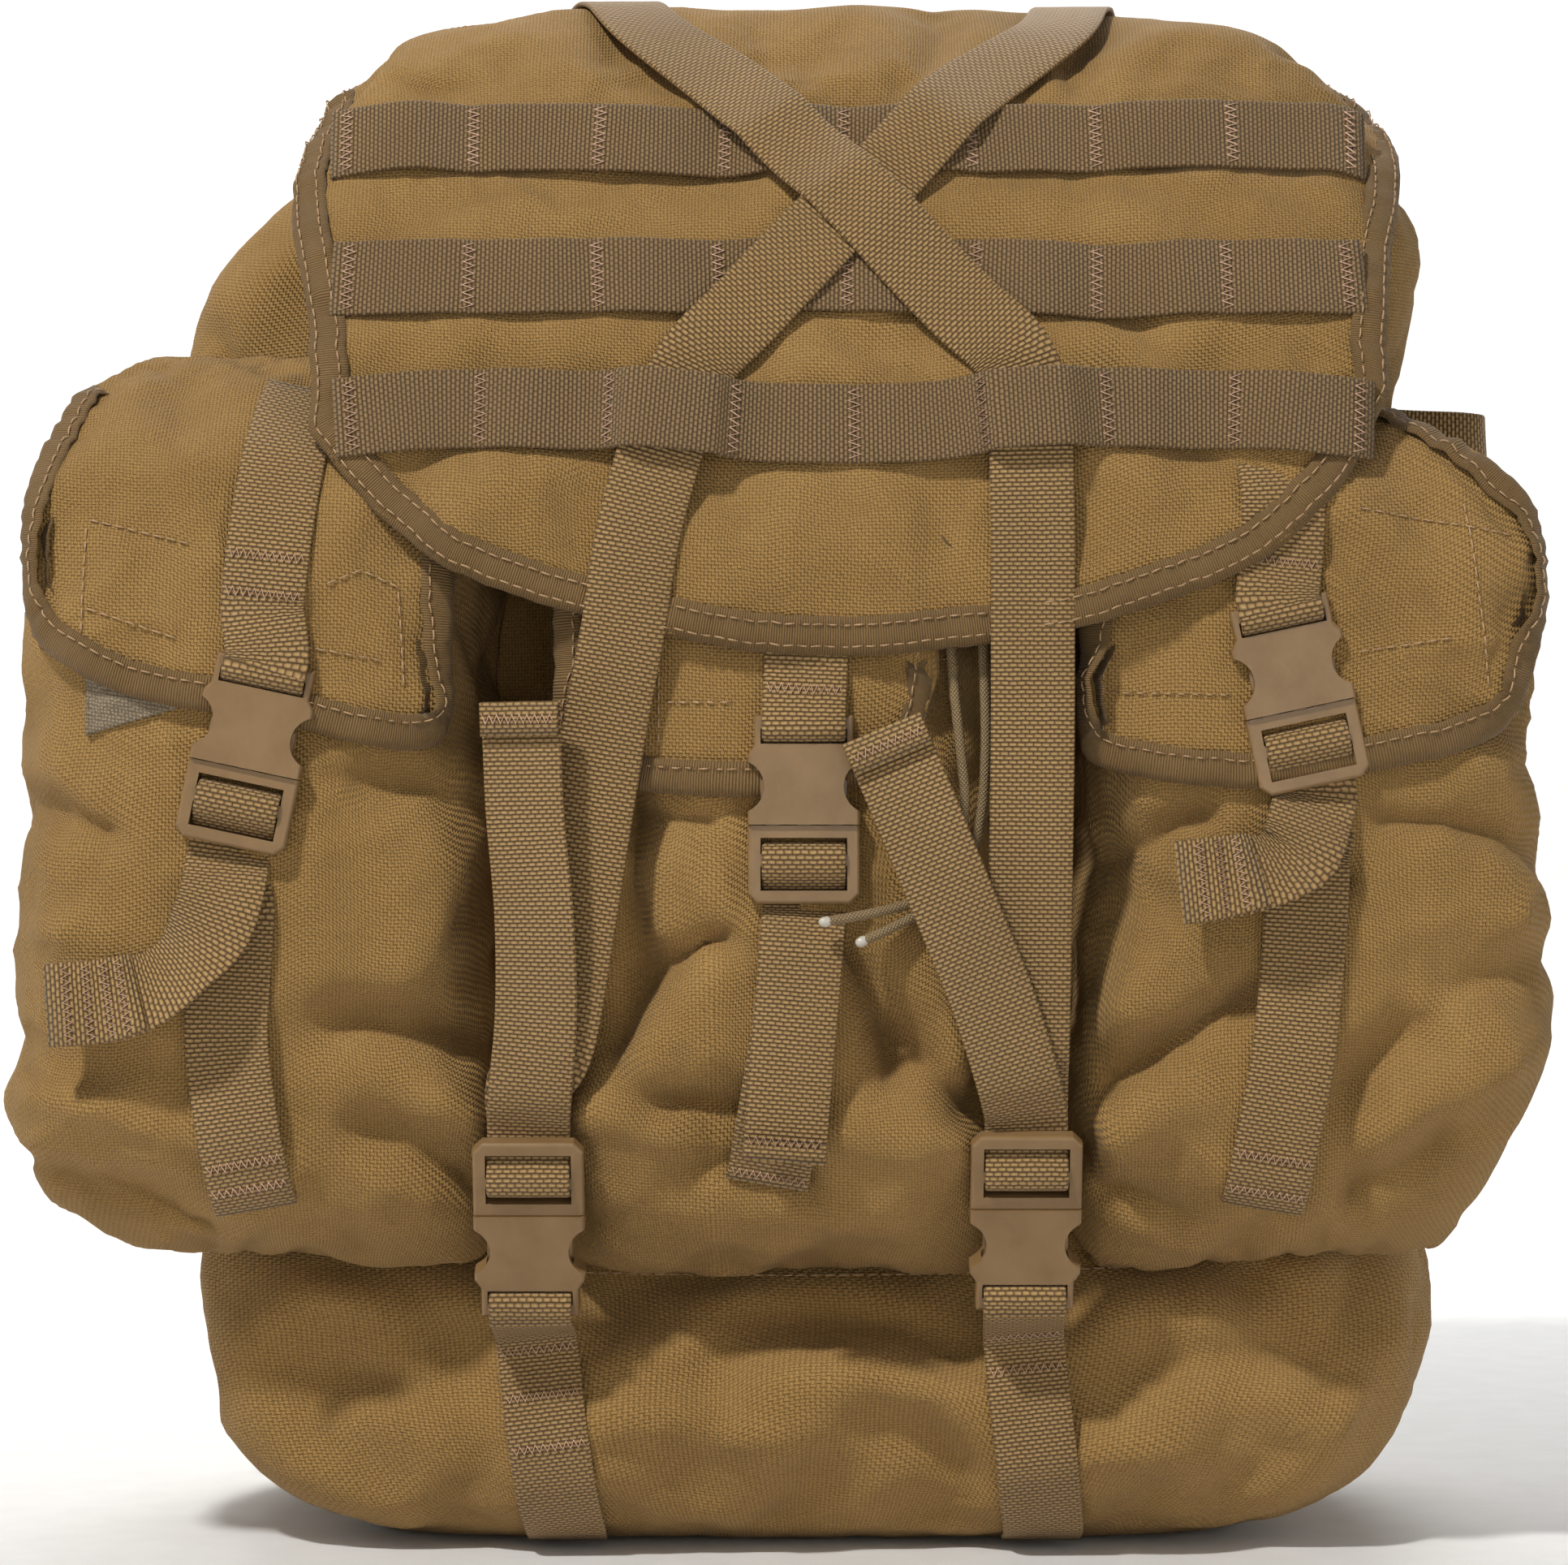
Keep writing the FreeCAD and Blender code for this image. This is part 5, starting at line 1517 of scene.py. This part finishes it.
def make_shoulder_pad(side, sign):
    path = mm(*[(sign * 85, y, z) for y, z in ((118, 404), (131, 396), (138, 380), (141, 350),
                                               (141, 300), (139, 250), (133, 215), (129.5, 196))])
    looks = [(0, y, z) for y, z in ((0.5, 1), (0.8, 0.6), (1, 0.3), (1, 0), (1, 0), (1, 0), (1, -0.1),
                                    (1, -0.1))]
    centre, look = resample(path, looks, 0.004)
    side_way, look = aim(centre, look)
    rows = len(centre)
    section = [(-1, 0), (-0.99, 0.55), (-0.93, 0.85), (-0.8, 1.0), (-0.4, 1.05), (0, 1.1), (0.4, 1.05),
               (0.8, 1.0), (0.93, 0.85), (0.99, 0.55), (1, 0), (0.93, -0.8), (0.6, -1), (0, -1.04),
               (-0.6, -1), (-0.93, -0.8)]
    grid = np.zeros((rows, len(section), 3))
    for i in range(rows):
        v = 2 * i / (rows - 1) - 1
        half = 30.4 * (1 - 0.28 * max(0, v - 0.55) / 0.45) * MM
        thick = 6.0 * sqrt(max(0.02, 1 - abs(v) ** 10)) * MM
        for j, (a, b) in enumerate(section):
            soft = 1 + 0.07 * noise.noise(Vector((a * 2, i * 0.25, sign)))
            seam = 1 - 0.22 * np.exp(-((abs(a) - 0.62) / 0.05) ** 2)
            grid[i, j] = centre[i] + side_way[i] * a * half + look[i] * b * thick * soft * seam
    pad = grid_piece("shoulder_pad_cloth_" + side, grid, CLOTH, None, "harness_cloth", loop_columns=True)
    close_mesh(pad, False)
    subdivide(pad)
    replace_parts(pad, "shoulder_pad_" + side)
    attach(pad, "bag")
    anchor = mm(*[(sign * 85, y, z) for y, z in (
        (116, 414), (117.5, 404), (126, 399), (140.5, 390), (146.6, 378), (147.6, 350), (147.6, 300),
        (145.6, 250), (140, 215), (134, 192), (128, 182))])
    looks = [(0, y, z) for y, z in ((1, 0), (1, 0.5), (0.8, 0.9), (1, 0.6), (1, 0.2), (1, 0), (1, 0),
                                    (1, 0), (1, -0.1), (1, -0.2), (1, -0.3))]
    line = drape(tree_of(pad), anchor, looks, lift=0.0010, step=0.004, taut=4)
    ribbon("shoulder_web_" + side, line, "bag")
    low = ((sign * 85, 124.5, 171), (sign * 86, 128.5, 166), (sign * 89, 133, 159),
           (sign * 110, 126, 146), (sign * 138, 116, 130), (sign * 166, 104.5, 113))
    web("harness_web_" + side, "harness_webs", low, (0, 1, 0.25), 0.004)
    tab = ((sign * 152, 97.8, 118), (sign * 160, 98.6, 112.5), (sign * 168, 101.6, 107.5),
           (sign * 171, 103.5, 110))
    web("harness_tab_web_" + side, "harness_tabs", tab, (0, 1, 0.1), 0.003, thick=2.6 * MM)


for side, sign in (("left", -1), ("right", 1)):
    make_shoulder_pad(side, sign)


def make_handle():
    """Two layers of webbing folded into a grab loop, hanging behind the lid's seam."""
    path = mm((-63, 101.6, 449), (-60, 101.8, 438), (-54, 102, 430.5), (-40, 102, 427), (0, 102.2, 426.5),
              (40, 102, 427), (54, 102, 430.5), (60, 101.8, 438), (63, 101.6, 449))
    centre, side_way, look = laid(path, (0, 1, 0), 0.003)
    # The loop is rolled: its width lies along Y.
    handle = ribbon("haul_loop_web", (centre, look, -side_way), "handle", width=9.5 * MM, thick=0.0040)
    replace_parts(handle, "haul_handle")
    seam = mm(*[(x, 97.4 + 0.5 * sin(x * 0.09), 440 + 0.5 * sin(x * 0.05)) for x in range(-158, 159, 12)])
    line = laid(seam, (0, 1, 0), 0.004)
    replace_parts(ribbon("back_seam_web", line, "bag", width=27 * MM, thick=2.2 * MM), "back_seam")
    routes = []
    for shift in (-10.5, 10.5):
        row = line[0] + line[1] * shift * MM + line[2] * 0.0012
        routes += stitch_routes(row, line[2] * 0.0006)
    thread_piece("back_seam_stitches", routes, THREAD_RADIUS, "bag", DARK_THREAD)


make_handle()


# ------------------------------------------------------------------ the CAD parts that stay

def dress(node, material, bevel=0.0005):
    """Give a CAD node its material and slightly softened moulded edges."""
    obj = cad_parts[node]
    obj.data.materials.clear()
    obj.data.materials.append(material)
    if bevel:
        soften = obj.modifiers.new("moulded_edges", "BEVEL")
        soften.width = bevel
        soften.segments = 2
        soften.limit_method = "ANGLE"
        soften.angle_limit = radians(35)
        soften.harden_normals = False


for name in BUCKLES:
    dress("buckle_socket_" + name, PLASTIC)
    dress("buckle_plug_" + name, PLASTIC)
dress("harness_ladderlocks", PLASTIC)
dress("frame_sheet", BLACK_PLASTIC, 0.0004)
dress("frame_stays", METAL, 0.0003)


# ------------------------------------------------------------------ camera, light and floor

def sweep_floor():
    """Round pale floor that curves up into a backdrop all round the pack."""
    profile = [(0.0, 0.0), (1.7, 0.0), (2.4, 0.03), (2.9, 0.22), (3.25, 0.6), (3.4, 1.2), (3.45, 3.4)]
    line = smooth_path(profile, 48)
    turns = np.linspace(0, 2 * pi, 96, endpoint=False)
    grid = np.array([[(r * cos(turn), r * sin(turn), z - 0.0004) for turn in turns] for r, z in line])
    floor = grid_piece("studio_floor", grid, FLOOR, loop_columns=True)


def area_light(name, place, aim_at, energy, size, color=(1, 1, 1)):
    """A round lamp, in watts and metres."""
    light = bpy.data.lights.new(name, "AREA")
    light.energy = energy
    light.shape = "DISK"
    light.size = size
    light.color = color
    obj = bpy.data.objects.new(name, light)
    obj.location = place
    obj.rotation_euler = (Vector(aim_at) - Vector(place)).to_track_quat("-Z", "Y").to_euler()
    bpy.context.scene.collection.objects.link(obj)


sweep_floor()
area_light("key", (-1.0, -1.55, 2.3), (0, -0.05, 0.2), 56, 0.22, (1.0, 0.985, 0.95))
area_light("fill", (1.9, -1.7, 0.6), (0, 0, 0.2), 3.5, 0.6, (0.98, 0.985, 1.0))
area_light("low", (0.3, -2.2, 0.15), (0, 0, 0.05), 2.2, 0.4)
area_light("back", (0.3, 1.5, 1.6), (0, 0.1, 0.3), 8, 1.2)
area_light("wall", (0.0, 1.2, 2.4), (0, 3.2, 0.4), 62, 2.5)

world = bpy.data.worlds.new("studio")
world.use_nodes = True
world.node_tree.nodes["Background"].inputs["Color"].default_value = (1, 1, 1, 1)
world.node_tree.nodes["Background"].inputs["Strength"].default_value = 0.01
bpy.context.scene.world = world
bpy.context.scene.view_settings.view_transform = "Standard"

camera_data = bpy.data.cameras.new("camera")
camera_data.lens = 97
camera_data.sensor_width = 36
camera = bpy.data.objects.new("camera", camera_data)
camera.location = (0, -1.425, 0.2437)
camera.rotation_euler = (pi / 2, 0, 0)
bpy.context.scene.collection.objects.link(camera)
bpy.context.scene.camera = camera
